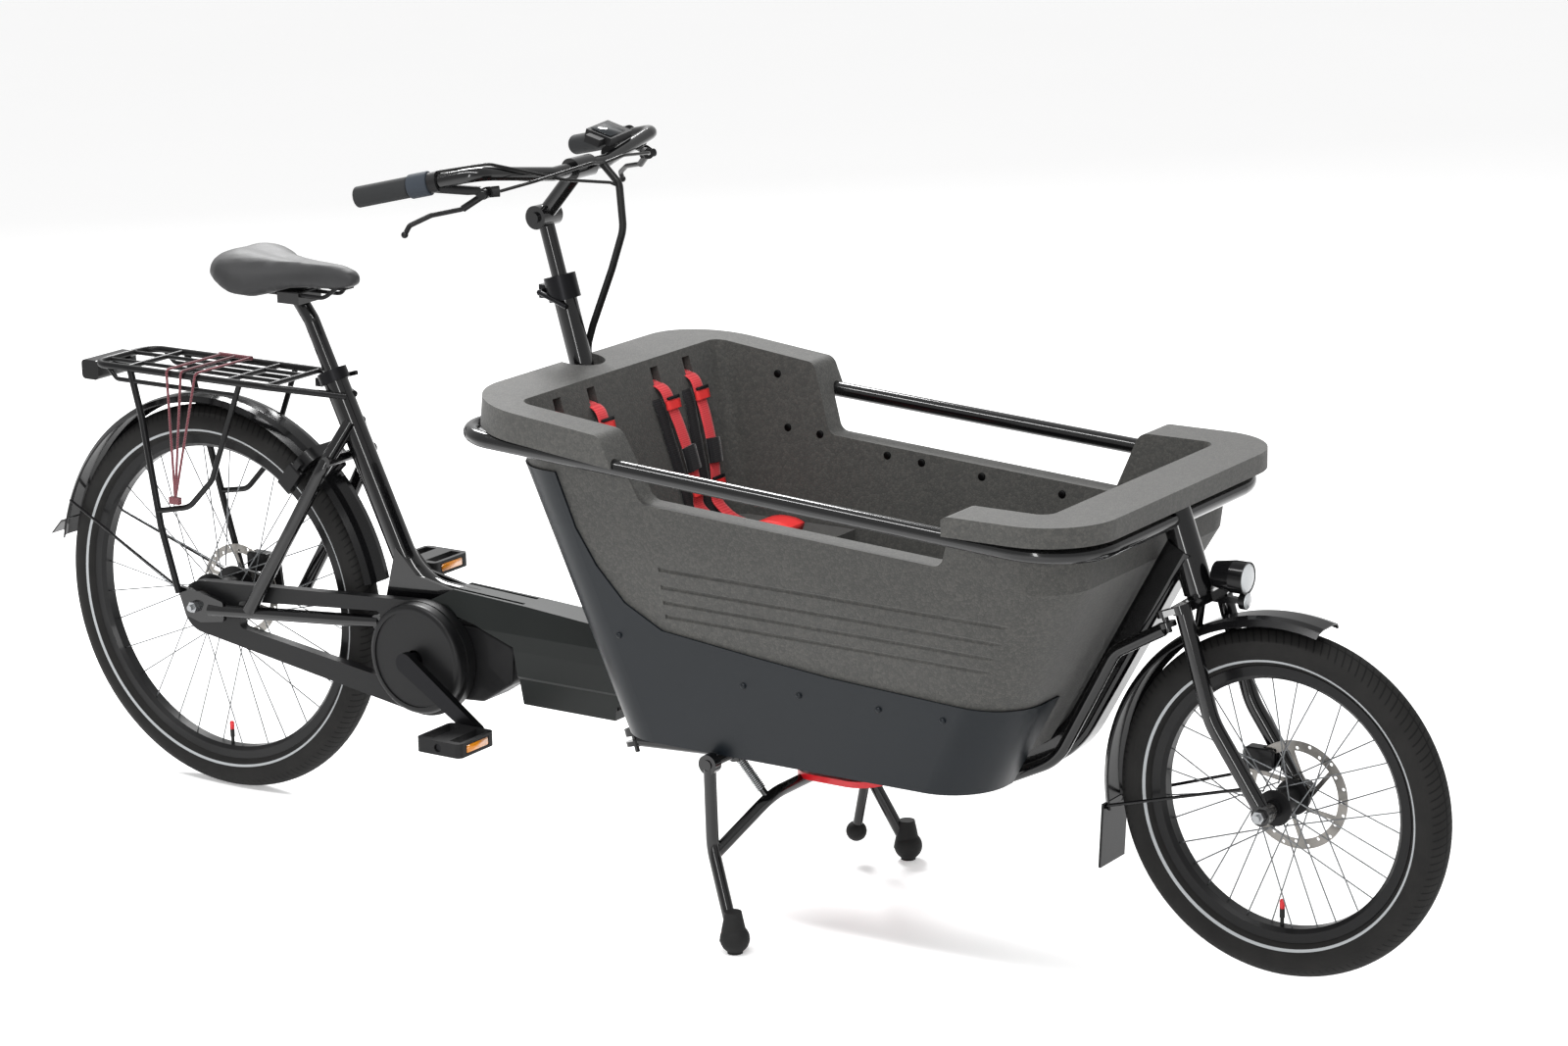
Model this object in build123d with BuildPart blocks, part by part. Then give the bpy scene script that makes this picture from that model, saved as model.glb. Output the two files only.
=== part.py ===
# Two-wheeled cargo bicycle: a moulded foam box between the steering column and the front wheel.
# Millimetres. +X points forward, +Y to the rider's left, +Z up. The origin is on the floor, below the rear axle.
# The bicycle stands on its double-leg stand, which holds the front tyre a little way off the floor.
import os
from math import cos, pi, radians, sin, sqrt, tan

from build123d import *

os.makedirs("parts", exist_ok=True)

# ---- wheels ----
wheelbase = 2017.0
rear_tyre_radius = 335.0
front_tyre_radius = 262.0
rear_tyre_width = 54.0
front_tyre_width = 57.0
tyre_wall = 4.0
contact_flat = 0.8
stand_lift = 41.0
rim_width = 30.0
rim_depth = 20.0
rim_hook = 5.0
spoke_diameter = 2.2
spokes_per_wheel = 32
hub_flange_half = 29.0
axle_diameter = 10.0
valve_diameter = 6.0
bearing_gap = 0.05
rotor_radius = 82.0
rotor_thickness = 2.0
rotor_offset = 42.0

# ---- frame ----
main_tube_diameter = 42.0
tube_wall = 2.5
beam_width = 50.0
beam_height = 44.0
housing_diameter = 54.0
housing_bore = 44.0
head_tube_diameter = 46.0
head_tube_bore = 38.0
stay_diameter = 22.0
dropout_thickness = 8.0
column_lean = 15.4
head_lean = 19.0

# ---- steering ----
column_diameter = 38.0
post_diameter = 25.4
steerer_diameter = 28.6
arm_reach = 60.0
rod_diameter = 20.0
link_pin_diameter = 8.0
link_gap = 2.0
fork_leg_diameter = 25.0
fork_leg_half = 62.0

# ---- handlebar ----
bar_diameter = 22.2
bar_half_width = 281.0
grip_diameter = 33.0
grip_length = 122.0
shifter_length = 34.0
stem_height = 1055.0
bar_height = 1137.0

# ---- box ----
box_floor_height = 346.0
box_bottom_half = 200.0
box_rail_half = 287.0
box_wall = 38.0
rail_diameter = 25.0
rail_half = 305.0
rim_overhang = 34.0
rim_drop = 46.0
sill_height = 684.0
skirt_thickness = 4.0
skirt_gap = 0.4
bench_height = 552.0
belt_width = 38.0

# ---- drive ----
crank_centre_x = 473.0
crank_centre_z = 310.0
crank_length = 170.0
crank_angle = -34.0
chainline = 48.0
chainring_radius = 36.0
sprocket_radius = 41.0
guard_disc_radius = 93.0

# ---- stand ----
stand_pivot_x = 1159.0
stand_pivot_z = 283.0
stand_leg_half = 220.0
stand_foot_x = 1219.0
stand_foot_half = 250.0
stand_tube_diameter = 20.0

# ---- saddle and rack ----
seatpost_diameter = 27.2
seat_top_z = 758.0
saddle_nose_x = 330.0
saddle_tail_x = 55.0
saddle_half_width = 92.0
rack_height = 735.0
rack_half = 72.0
rack_tube_diameter = 12.0

front_axle_z = front_tyre_radius + stand_lift
rear_axle = (0.0, 0.0, rear_tyre_radius)
front_axle = (wheelbase, 0.0, front_axle_z)
column_slope = tan(radians(column_lean))
head_slope = tan(radians(head_lean))


def on_column(height, side=0.0):
    """Point of the steering column's axis at a height above the floor."""
    return (775.0 - column_slope * (height - 831.0), side, height)


def on_head(height, side=0.0):
    """Point of the fork's steering axis at a height above the floor."""
    return (1868.0 - head_slope * (height - 628.0), side, height)


def column_plane(height):
    """Plane square to the steering column."""
    lean = radians(column_lean)
    return Plane(origin=on_column(height), x_dir=(cos(lean), 0, sin(lean)), z_dir=(-sin(lean), 0, cos(lean)))


def head_plane(height):
    """Plane square to the fork's steering axis."""
    lean = radians(head_lean)
    return Plane(origin=on_head(height), x_dir=(cos(lean), 0, sin(lean)), z_dir=(-sin(lean), 0, cos(lean)))


def cross_plane(centre):
    """Plane square to the axles, its Z pointing to the rider's left."""
    return Plane(origin=centre, x_dir=(1, 0, 0), z_dir=(0, -1, 0))


def bar(route, diameter, bends=None):
    """Round bar along straight runs joined by tangent arcs."""
    with BuildPart() as rod:
        with BuildLine() as path:
            if len(route) == 2:
                Line(*route)
            else:
                FilletPolyline(*route, radius=bends)
        with BuildSketch(Plane(origin=path.line @ 0, z_dir=path.line % 0)):
            Circle(diameter / 2)
        sweep()
    return rod.part


def axle_disc(centre, radius, low, high, bore=0.0):
    """Disc or ring about an axle line, from low to high along Y."""
    with BuildPart() as disc:
        with BuildSketch(cross_plane((centre[0], low, centre[2]))):
            Circle(radius)
            if bore:
                Circle(bore, mode=Mode.SUBTRACT)
        extrude(amount=-(high - low))
    return disc.part


def side_plate(outline, low, high, corner=0.0):
    """Plate whose outline is given as X, Z points, from low to high along Y."""
    with BuildPart() as plate:
        with BuildSketch(Plane(origin=(0, low, 0), x_dir=(1, 0, 0), z_dir=(0, -1, 0))) as face:
            Polygon(*outline, align=None)
            if corner:
                fillet(face.vertices(), corner)
        extrude(amount=-(high - low))
    return plate.part


def both_sides(piece):
    """A piece and its mirror image across the bicycle's middle plane."""
    with BuildPart() as pair:
        add(piece)
        mirror(about=Plane.XZ)
    return pair.part


def wheel_ring(axle, profile):
    """Ring turned about an axle from a profile of radius, Y points."""
    with BuildPart() as ring:
        with BuildSketch(Plane(origin=axle, x_dir=(1, 0, 0), z_dir=(0, 0, 1))):
            Polygon(*profile, align=None)
        revolve(axis=Axis(axle, (0, 1, 0)))
    return ring.part


# ---------------------------------------------------------------- wheels
def make_tyre(axle, radius, width, bead_radius):
    """Tyre: a hollow ring, open where it sits on the rim."""
    section_centre = radius - width / 2
    with BuildPart() as tyre:
        with BuildSketch(Plane(origin=axle, x_dir=(1, 0, 0), z_dir=(0, 0, 1))):
            with Locations((section_centre, 0)):
                Circle(width / 2)
                Circle(width / 2 - tyre_wall, mode=Mode.SUBTRACT)
            with Locations((bead_radius + rim_hook - width, 0)):
                Rectangle(2 * width, rim_width, mode=Mode.SUBTRACT)
            with Locations((bead_radius + rim_hook, 0)):
                Rectangle(24, rim_width - 8, mode=Mode.SUBTRACT)
        revolve(axis=Axis(axle, (0, 1, 0)))
    return tyre.part


def make_rim(axle, bead_radius):
    """Rim: a box section with a channel for the tyre's beads."""
    half = rim_width / 2
    lip = 3.0
    inner = bead_radius - rim_depth + rim_hook
    profile = [
        (inner, -half + 6), (inner, half - 6), (inner + 6, half), (bead_radius + rim_hook, half),
        (bead_radius + rim_hook, half - lip), (bead_radius - 4, half - lip),
        (bead_radius - 4, -half + lip), (bead_radius + rim_hook, -half + lip),
        (bead_radius + rim_hook, -half), (inner + 6, -half),
    ]
    with BuildPart() as rim:
        add(wheel_ring(axle, profile))
        hub_side = (axle[0], 0, axle[2] - inner + 10)
        tyre_side = (axle[0], 0, axle[2] - bead_radius - rim_hook - 5)
        add(bar([tyre_side, hub_side], valve_diameter + 0.2), mode=Mode.SUBTRACT)
    return rim.part


def make_spokes(axle, rim_inner, flange_radius, cross):
    """Spokes laced tangentially between both hub flanges and the rim, a group of separate solids."""
    with BuildPart() as spokes:
        step = 360.0 / spokes_per_wheel
        for number in range(spokes_per_wheel):
            side = 1 if number % 2 else -1
            lean = 1 if (number // 2) % 2 else -1
            rim_angle = radians((number + 0.5) * step)
            hub_angle = rim_angle + radians(lean * cross)
            head = hub_flange_half * side + 2.0 * lean
            start = (
                axle[0] + flange_radius * cos(hub_angle), head, axle[2] + flange_radius * sin(hub_angle))
            end = (axle[0] + rim_inner * cos(rim_angle), side * 4.0, axle[2] + rim_inner * sin(rim_angle))
            add(bar([start, end], spoke_diameter))
    return spokes.part


rear_bead = 279.5
front_bead = 203.0
rear_rim_inner = rear_bead - rim_depth + rim_hook
front_rim_inner = front_bead - rim_depth + rim_hook
rear_flange_radius = 46.0
front_flange_radius = 27.0

with BuildPart() as rear_tyre:
    # the loaded tyre stands on a small flat, right below its axle
    add(make_tyre(rear_axle, rear_tyre_radius + contact_flat, rear_tyre_width + 2 * contact_flat, rear_bead))
    split(bisect_by=Plane.XY, keep=Keep.TOP)
rear_tyre.part.label = "rear_tyre"
export_step(rear_tyre.part, "parts/rear_tyre.step")

with BuildPart() as front_tyre:
    add(make_tyre(front_axle, front_tyre_radius, front_tyre_width, front_bead))
front_tyre.part.label = "front_tyre"
export_step(front_tyre.part, "parts/front_tyre.step")

with BuildPart() as rear_rim:
    add(make_rim(rear_axle, rear_bead))
rear_rim.part.label = "rear_rim"
export_step(rear_rim.part, "parts/rear_rim.step")

with BuildPart() as front_rim:
    add(make_rim(front_axle, front_bead))
front_rim.part.label = "front_rim"
export_step(front_rim.part, "parts/front_rim.step")

with BuildPart() as rear_spokes:
    add(make_spokes(rear_axle, rear_rim_inner - 0.5, rear_flange_radius + 2, 34.0))
rear_spokes.part.label = "rear_spokes"
export_step(rear_spokes.part, "parts/rear_spokes.step")

with BuildPart() as front_spokes:
    add(make_spokes(front_axle, front_rim_inner - 0.5, front_flange_radius + 2, 62.0))
front_spokes.part.label = "front_spokes"
export_step(front_spokes.part, "parts/front_spokes.step")

# Rear hub: a gear hub's shell, wide barrel between two flanges, bored for its axle.
with BuildPart() as rear_hub:
    add(axle_disc(rear_axle, 33.0, -hub_flange_half, hub_flange_half))
    add(axle_disc(rear_axle, rear_flange_radius, -hub_flange_half - 1.5, -hub_flange_half + 1.5))
    add(axle_disc(rear_axle, rear_flange_radius, hub_flange_half - 1.5, hub_flange_half + 1.5))
    add(axle_disc(rear_axle, 22.0, hub_flange_half, rotor_offset - rotor_thickness / 2))
    add(axle_disc(rear_axle, axle_diameter / 2 + bearing_gap, -60, 60), mode=Mode.SUBTRACT)
rear_hub.part.label = "rear_hub"
export_step(rear_hub.part, "parts/rear_hub.step")

with BuildPart() as front_hub:
    add(axle_disc(front_axle, 17.0, -hub_flange_half, hub_flange_half))
    add(axle_disc(front_axle, front_flange_radius, -hub_flange_half - 1.5, -hub_flange_half + 1.5))
    add(axle_disc(front_axle, front_flange_radius, hub_flange_half - 1.5, hub_flange_half + 1.5))
    add(axle_disc(front_axle, 19.0, hub_flange_half, rotor_offset - rotor_thickness / 2))
    add(axle_disc(front_axle, 13.0, -42.0, -hub_flange_half))
    add(axle_disc(front_axle, axle_diameter / 2 + bearing_gap, -60, 60), mode=Mode.SUBTRACT)
front_hub.part.label = "front_hub"
export_step(front_hub.part, "parts/front_hub.step")


def make_rotor(axle):
    """Brake disc: a drilled friction ring on six curved arms."""
    low = rotor_offset - rotor_thickness / 2
    high = rotor_offset + rotor_thickness / 2
    ring_width = 15.0
    with BuildPart() as rotor:
        add(axle_disc(axle, rotor_radius, low, high, rotor_radius - ring_width))
        add(axle_disc(axle, 24.0, low, high, 13.0))
        for number in range(6):
            start = radians(number * 60.0)
            end = start + radians(38.0)
            inner = (axle[0] + 21 * cos(start), axle[2] + 21 * sin(start))
            outer = (axle[0] + (rotor_radius - 12) * cos(end), axle[2] + (rotor_radius - 12) * sin(end))
            length = sqrt((outer[0] - inner[0]) ** 2 + (outer[1] - inner[1]) ** 2)
            across = (-(outer[1] - inner[1]) / length * 3.5, (outer[0] - inner[0]) / length * 3.5)
            arm = [
                (inner[0] + across[0], inner[1] + across[1]), (outer[0] + across[0], outer[1] + across[1]),
                (outer[0] - across[0], outer[1] - across[1]), (inner[0] - across[0], inner[1] - across[1])]
            add(side_plate(arm, low, high))
        for number in range(24):
            turn = radians(number * 15.0)
            reach = rotor_radius - ring_width / 2 + (3.0 if number % 2 else -3.0)
            hole = (axle[0] + reach * cos(turn), 0, axle[2] + reach * sin(turn))
            add(axle_disc(hole, 2.6, low, high), mode=Mode.SUBTRACT)
    return rotor.part


with BuildPart() as rear_brake_disc:
    add(make_rotor(rear_axle))
rear_brake_disc.part.label = "rear_brake_disc"
export_step(rear_brake_disc.part, "parts/rear_brake_disc.step")

with BuildPart() as front_brake_disc:
    add(make_rotor(front_axle))
front_brake_disc.part.label = "front_brake_disc"
export_step(front_brake_disc.part, "parts/front_brake_disc.step")


def make_inner_tube(axle, radius, width, rim_inner):
    """Inner tube inside the tyre, with its valve stem standing through the rim towards the hub."""
    section = width / 2 - tyre_wall - 0.5
    tube_wall_thickness = 1.5
    seam_width = 0.6
    stem_length = 34.0
    section_centre = radius - width / 2
    with BuildPart() as tube:
        with BuildSketch(Plane(origin=axle, x_dir=(1, 0, 0), z_dir=(0, 0, 1))):
            with Locations((section_centre, 0)):
                Circle(section)
                Circle(section - tube_wall_thickness, mode=Mode.SUBTRACT)
            with Locations((section_centre - section, 0)):
                Rectangle(6, seam_width, mode=Mode.SUBTRACT)
        revolve(axis=Axis(axle, (0, 1, 0)))
        outer = (axle[0], 0, axle[2] - section_centre + section - 1)
        inner = (axle[0], 0, axle[2] - rim_inner + stem_length)
        add(bar([outer, inner], valve_diameter))
        add(bar([(inner[0], 0, inner[2] - 22), (inner[0], 0, inner[2] + 3)], valve_diameter + 2))
    return tube.part


with BuildPart() as rear_inner_tube:
    add(make_inner_tube(rear_axle, rear_tyre_radius, rear_tyre_width, rear_rim_inner))
rear_inner_tube.part.label = "rear_inner_tube"
export_step(rear_inner_tube.part, "parts/rear_inner_tube.step")

with BuildPart() as front_inner_tube:
    add(make_inner_tube(front_axle, front_tyre_radius, front_tyre_width, front_rim_inner))
front_inner_tube.part.label = "front_inner_tube"
export_step(front_inner_tube.part, "parts/front_inner_tube.step")

# ---------------------------------------------------------------- frame
beam_rear_z = 322.0
beam_front_z = 306.0
beam_knee_x = 1651.0
main_bend_x = 423.0
main_bend_z = 410.0
seat_angle_run = 161.0
main_bend_radius = 110.0
beam_bend_radius = 150.0
housing_low = 286.0
housing_high = 776.0
head_low = 600.0
head_high = 722.0
seat_sleeve_length = 120.0
main_route = [
    (main_bend_x - seat_angle_run, 0, seat_top_z), (main_bend_x, 0, main_bend_z), on_column(378.0)]
seat_axis = Vector(-seat_angle_run, 0, seat_top_z - main_bend_z).normalized()
seat_top = Vector(*main_route[0])
beam_route = [on_column(beam_rear_z), (beam_knee_x, 0, beam_front_z), on_head(668.0)]
lug_offset = 27.0
lug_thickness = 6.0
bracket_offset = 18.0
stand_axle_diameter = 16.0
stand_axle_half = 229.0
yoke_x = 373.0
yoke_z = 352.0
yoke_diameter = 26.0
support_length = 300.0


def beam_bar(inset):
    """Rectangular beam under the box, turned up in front of it to the head tube."""
    with BuildPart() as beam:
        with BuildLine() as path:
            FilletPolyline(*beam_route, radius=beam_bend_radius)
        with BuildSketch(Plane(origin=path.line @ 0, x_dir=(0, 1, 0), z_dir=path.line % 0)):
            RectangleRounded(beam_width - 2 * inset, beam_height - 2 * inset, 10 - inset)
        sweep()
    return beam.part


def seat_bar(low, high, diameter):
    """Round bar on the seat tube's axis, its ends measured from the top of the seat tube."""
    return bar([tuple(seat_top + seat_axis * low), tuple(seat_top + seat_axis * high)], diameter)


def column_bar(low, high, diameter):
    """Round bar on the steering column's axis between two heights."""
    return bar([on_column(low), on_column(high)], diameter)


def head_bar(low, high, diameter):
    """Round bar on the fork's steering axis between two heights."""
    return bar([on_head(low), on_head(high)], diameter)


with BuildPart() as main_frame:
    add(bar(main_route, main_tube_diameter, [main_bend_radius]))
    # bracket plates between the main tube and the motor, with the yoke for the chainstays
    for side in (-1, 1):
        add(side_plate(
            [(362, 345), (398, 478), (440, 436), (600, 404), (600, 379), (560, 374), (412, 374), (395, 340)],
            side * bracket_offset - 3, side * bracket_offset + 3))
    add(axle_disc((yoke_x, 0, yoke_z), yoke_diameter / 2, -46, 46))
    add(bar(main_route, main_tube_diameter - 2 * tube_wall, [main_bend_radius]), mode=Mode.SUBTRACT)
    add(seat_bar(-seat_sleeve_length, 0, main_tube_diameter))
    add(seat_bar(-seat_sleeve_length - 5, 5, seatpost_diameter + 2 * bearing_gap), mode=Mode.SUBTRACT)
    add(beam_bar(0.0))
    add(beam_bar(tube_wall), mode=Mode.SUBTRACT)
    add(column_bar(housing_low, housing_high, housing_diameter))
    add(head_bar(head_low, head_high, head_tube_diameter))
    add(column_bar(housing_low - 10, housing_high + 10, housing_bore), mode=Mode.SUBTRACT)
    add(head_bar(head_low - 10, head_high + 10, head_tube_bore), mode=Mode.SUBTRACT)
    # lugs below the beam and the axle the stand folds on
    for side in (-1, 1):
        add(side_plate(
            [(stand_pivot_x - 36, 302), (stand_pivot_x - 16, stand_pivot_z - 13),
             (stand_pivot_x + 16, stand_pivot_z - 13), (stand_pivot_x + 36, 302),
             (stand_pivot_x + 36, 330), (stand_pivot_x - 36, 330)],
            side * lug_offset - lug_thickness / 2, side * lug_offset + lug_thickness / 2))
    add(axle_disc((stand_pivot_x, 0, stand_pivot_z), stand_axle_diameter / 2, -stand_axle_half, stand_axle_half))
    # cross bearers the box's floor stands on
    for station in (1040.0, 1500.0):
        with BuildSketch(Plane.XY.offset(box_floor_height - 6)):
            with Locations((station, 0)):
                Rectangle(36, support_length)
        extrude(amount=6)
        with BuildSketch(Plane.XY.offset(beam_front_z + beam_height / 2 - 2)):
            with Locations((station, 0)):
                Rectangle(30, 30)
        extrude(amount=box_floor_height - 3 - beam_front_z - beam_height / 2 + 2)
main_frame.part.label = "main_frame"
export_step(main_frame.part, "parts/main_frame.step")

# Rail that runs around the outside of the box, tilted forward, welded to the housing and the head tube.
rail_rear_x = 755.0
rail_front_x = 1842.0
rail_rear_z = 770.5
rail_fall = 0.058
rail_rear_bend = 70.0
rail_front_bend = 110.0


def rail_point(x, side):
    """Corner of the rail's path on its tilted plane."""
    return (x, side * rail_half, rail_rear_z - rail_fall * (x - rail_rear_x))


def rail_loop(diameter):
    """Closed loop of round bar made of two mirror halves that meet at the rear and at the front."""
    start = (rail_rear_x, 0, rail_rear_z)
    end = (rail_front_x, 0, rail_rear_z - rail_fall * (rail_front_x - rail_rear_x))
    halves = bar(
        [start, rail_point(rail_rear_x, -1), rail_point(rail_front_x, -1), end],
        diameter, [rail_rear_bend, rail_front_bend])
    return both_sides(halves)


with BuildPart() as box_rail:
    add(rail_loop(rail_diameter))
    add(column_bar(housing_low, housing_high, housing_diameter), mode=Mode.SUBTRACT)
    add(head_bar(head_low, head_high, head_tube_diameter), mode=Mode.SUBTRACT)
box_rail.part.label = "box_rail"
export_step(box_rail.part, "parts/box_rail.step")

# Rear triangle: chainstays, seat stays, bridge and dropouts.
chainstay_route = [(30, -72, 332), (300, -46, 347), (yoke_x, -38, yoke_z)]
seatstay_route = [(116, -70, 342), (215, -67, 494), (282, -60, 604), (306, -11, 676)]
dropout_outer = 76.0
with BuildPart() as rear_triangle:
    for side in (0, 1):
        stays = bar(chainstay_route, stay_diameter, [100.0])
        stays += bar(seatstay_route, stay_diameter + 2, [60.0, 34.0])
        stays += side_plate(
            [(-40, 366), (8, 362), (62, 350), (62, 316), (10, 308), (-22, 316)],
            -dropout_outer, -dropout_outer + dropout_thickness, 5.0)
        add(mirror(stays, about=Plane.XZ) if side else stays)
    add(bar([(292, -62, 618), (292, 62, 618)], 18.0))
    add(axle_disc(rear_axle, axle_diameter / 2, -90, 90), mode=Mode.SUBTRACT)
    add(bar(main_route, main_tube_diameter, [main_bend_radius]), mode=Mode.SUBTRACT)
    add(axle_disc((yoke_x, 0, yoke_z), yoke_diameter / 2, -46, 46), mode=Mode.SUBTRACT)
rear_triangle.part.label = "rear_triangle"
export_step(rear_triangle.part, "parts/rear_triangle.step")


def axle_bar(axle, half, nut_inner, nut_outer):
    """Wheel axle with a nut outside each dropout."""
    with BuildPart() as pin:
        add(axle_disc(axle, axle_diameter / 2, -half, half))
        for low, high in ((-nut_outer, -nut_inner), (nut_inner, nut_outer)):
            with BuildSketch(cross_plane((axle[0], low, axle[2]))):
                RegularPolygon(10, 6)
            extrude(amount=-(high - low))
    return pin.part


with BuildPart() as rear_axle_bar:
    add(axle_bar(rear_axle, 92.0, dropout_outer, dropout_outer + 9))
rear_axle_bar.part.label = "rear_axle_bar"
export_step(rear_axle_bar.part, "parts/rear_axle_bar.step")


def bearing_ring(low_bar, bore_bar):
    """Bearing ring: the outer bar with the inner one taken away."""
    with BuildPart() as ring:
        add(low_bar)
        add(bore_bar, mode=Mode.SUBTRACT)
    return ring.part


bearing_length = 14.0
with BuildPart() as steering_bearings:
    for low in (housing_low, housing_high - bearing_length):
        add(bearing_ring(
            column_bar(low, low + bearing_length, housing_bore),
            column_bar(low - 5, low + bearing_length + 5, column_diameter + 2 * bearing_gap)))
    for low in (head_low, head_high - bearing_length):
        add(bearing_ring(
            head_bar(low, low + bearing_length, head_tube_bore),
            head_bar(low - 5, low + bearing_length + 5, steerer_diameter + 2 * bearing_gap)))
steering_bearings.part.label = "steering_bearings"
export_step(steering_bearings.part, "parts/steering_bearings.step")

# ---------------------------------------------------------------- drive
crank_centre = (crank_centre_x, 0.0, crank_centre_z)
motor_half = 35.0
spindle_radius = 12.0
with BuildPart() as motor_unit:
    add(side_plate(
        [(412, 366), (574, 370), (648, 346), (642, 282), (580, 243), (452, 234), (410, 268)],
        -motor_half, motor_half, 16.0))
    fillet(motor_unit.faces().filter_by(Axis.Y).edges(), 5.0)
    add(axle_disc(crank_centre, 30.0, -motor_half - 2, motor_half + 6))
    add(axle_disc(crank_centre, spindle_radius + bearing_gap, -60, 60), mode=Mode.SUBTRACT)
motor_unit.part.label = "motor_unit"
export_step(motor_unit.part, "parts/motor_unit.step")

def loop_plate(rear_centre, rear_radius, front_centre, front_radius, low, high):
    """Plate whose outline is the hull of two circles, like a chain's path."""
    with BuildPart() as plate:
        with BuildSketch(Plane(origin=(0, low, 0), x_dir=(1, 0, 0), z_dir=(0, -1, 0))):
            with Locations(rear_centre):
                Circle(rear_radius)
            with Locations(front_centre):
                Circle(front_radius)
            make_hull()
        extrude(amount=-(high - low))
    return plate.part


chain_half_width = 4.0
chain_half_depth = 4.0
chainring_teeth = 38
sprocket_teeth = 16
chain_pitch = 12.7
ring_pitch_radius = chainring_teeth * chain_pitch / (2 * pi)
sprocket_pitch_radius = sprocket_teeth * chain_pitch / (2 * pi)
guard_outer = 55.5
guard_inner = 37.0
guard_wall = 2.0
guard_rear_centre = (0.0, 329.0)
guard_rear_radius = 46.0
guard_front_centre = (473.0, 307.0)
guard_front_radius = 97.0
guard_window = [(80, 350), (388, 376), (388, 262), (80, 304)]
guard_disc_outer = 78.0


# Cover of the battery bay: a deep housing between the motor and the steering housing.
cover_half = 48.0
battery_low = 272.0
battery_high = 352.0
battery_rear = 690.0
battery_front = 872.0
battery_half = 38.0
cover_wall = 3.0
with BuildPart() as battery_cover:
    with BuildSketch(Plane(origin=(430, 0, 0), x_dir=(0, 1, 0), z_dir=(1, 0, 0))):
        Polygon(
            (-22, 432), (-cover_half + 2, 372), (-cover_half, 345), (-cover_half, 303), (-cover_half + 4, 298),
            (-cover_half + 9, 254), (cover_half - 9, 254), (cover_half - 4, 298), (cover_half, 303),
            (cover_half, 345), (cover_half - 2, 372), (22, 432), align=None)
    extrude(amount=540)
    add(side_plate(
        [(470, 398), (520, 424), (671, 416), (893, 400), (916, 300), (856, 278), (850, 250), (668, 250),
         (664, 300), (656, 350), (578, 376)],
        -60, 60), mode=Mode.INTERSECT)
    add(bar(main_route, main_tube_diameter, [main_bend_radius]), mode=Mode.SUBTRACT)
    add(beam_bar(0.0), mode=Mode.SUBTRACT)
    add(column_bar(housing_low - 60, housing_high, housing_diameter), mode=Mode.SUBTRACT)
    with Locations(((battery_rear + battery_front) / 2, 0, (battery_low + battery_high) / 2)):
        Box(battery_front - battery_rear + 2, 2 * battery_half + 2, battery_high - battery_low + 2,
            mode=Mode.SUBTRACT)
    add(loop_plate((540, 307), 50.0, guard_front_centre, guard_front_radius + 4, -60, -guard_inner + 2),
        mode=Mode.SUBTRACT)
    for side in (-1, 1):
        add(side_plate(
            [(440, 450), (660, 450), (660, 340), (440, 340)],
            side * bracket_offset - 3.5, side * bracket_offset + 3.5), mode=Mode.SUBTRACT)
battery_cover.part.label = "battery_cover"
export_step(battery_cover.part, "parts/battery_cover.step")

with BuildPart() as battery_pack:
    with Locations(((battery_rear + battery_front) / 2, 0, (battery_low + battery_high) / 2)):
        Box(battery_front - battery_rear, 2 * battery_half, battery_high - battery_low)
    fillet(battery_pack.edges().filter_by(Axis.X), 6.0)
battery_pack.part.label = "battery_pack"
export_step(battery_pack.part, "parts/battery_pack.step")


def grown(outline, amount):
    """Four-cornered outline grown outwards by an amount."""
    middle_x = sum(point[0] for point in outline) / 4
    middle_z = sum(point[1] for point in outline) / 4
    return [
        (x + (amount if x > middle_x else -amount), z + (amount if z > middle_z else -amount))
        for x, z in outline]


def guard_cavity():
    """Space inside the chain guard's two arms."""
    with BuildPart() as cavity:
        add(loop_plate(
            guard_rear_centre, guard_rear_radius - guard_wall, guard_front_centre, guard_front_radius - guard_wall,
            -guard_outer + guard_wall, -guard_inner - guard_wall))
        add(side_plate(grown(guard_window, guard_wall), -guard_outer, -guard_inner, 9.0), mode=Mode.SUBTRACT)
    return cavity.part


with BuildPart() as chain_guard:
    add(loop_plate(
        guard_rear_centre, guard_rear_radius, guard_front_centre, guard_front_radius, -guard_outer, -guard_inner))
    add(side_plate(guard_window, -guard_outer - 1, -guard_inner + 1, 8.0), mode=Mode.SUBTRACT)
    add(guard_cavity(), mode=Mode.SUBTRACT)
    add(axle_disc(crank_centre, guard_disc_radius, -guard_disc_outer, -guard_outer + guard_wall))
    fillet(chain_guard.faces().sort_by(Axis.Y)[0].edges(), 9.0)
    add(axle_disc(crank_centre, guard_disc_radius - 12, -guard_disc_outer - 1, -guard_disc_outer + 2.5),
        mode=Mode.SUBTRACT)
    add(axle_disc(crank_centre, guard_disc_radius - 5, -guard_disc_outer + 6, -guard_outer + guard_wall),
        mode=Mode.SUBTRACT)
    add(axle_disc(crank_centre, 16.0, -guard_disc_outer - 5, -guard_outer + 5), mode=Mode.SUBTRACT)
    add(axle_disc(crank_centre, 62.0, -guard_inner - 3, -guard_inner + 3), mode=Mode.SUBTRACT)
    add(axle_disc(rear_axle, 24.0, -guard_outer - 3, -guard_inner + 3), mode=Mode.SUBTRACT)
chain_guard.part.label = "chain_guard"
export_step(chain_guard.part, "parts/chain_guard.step")

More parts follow.
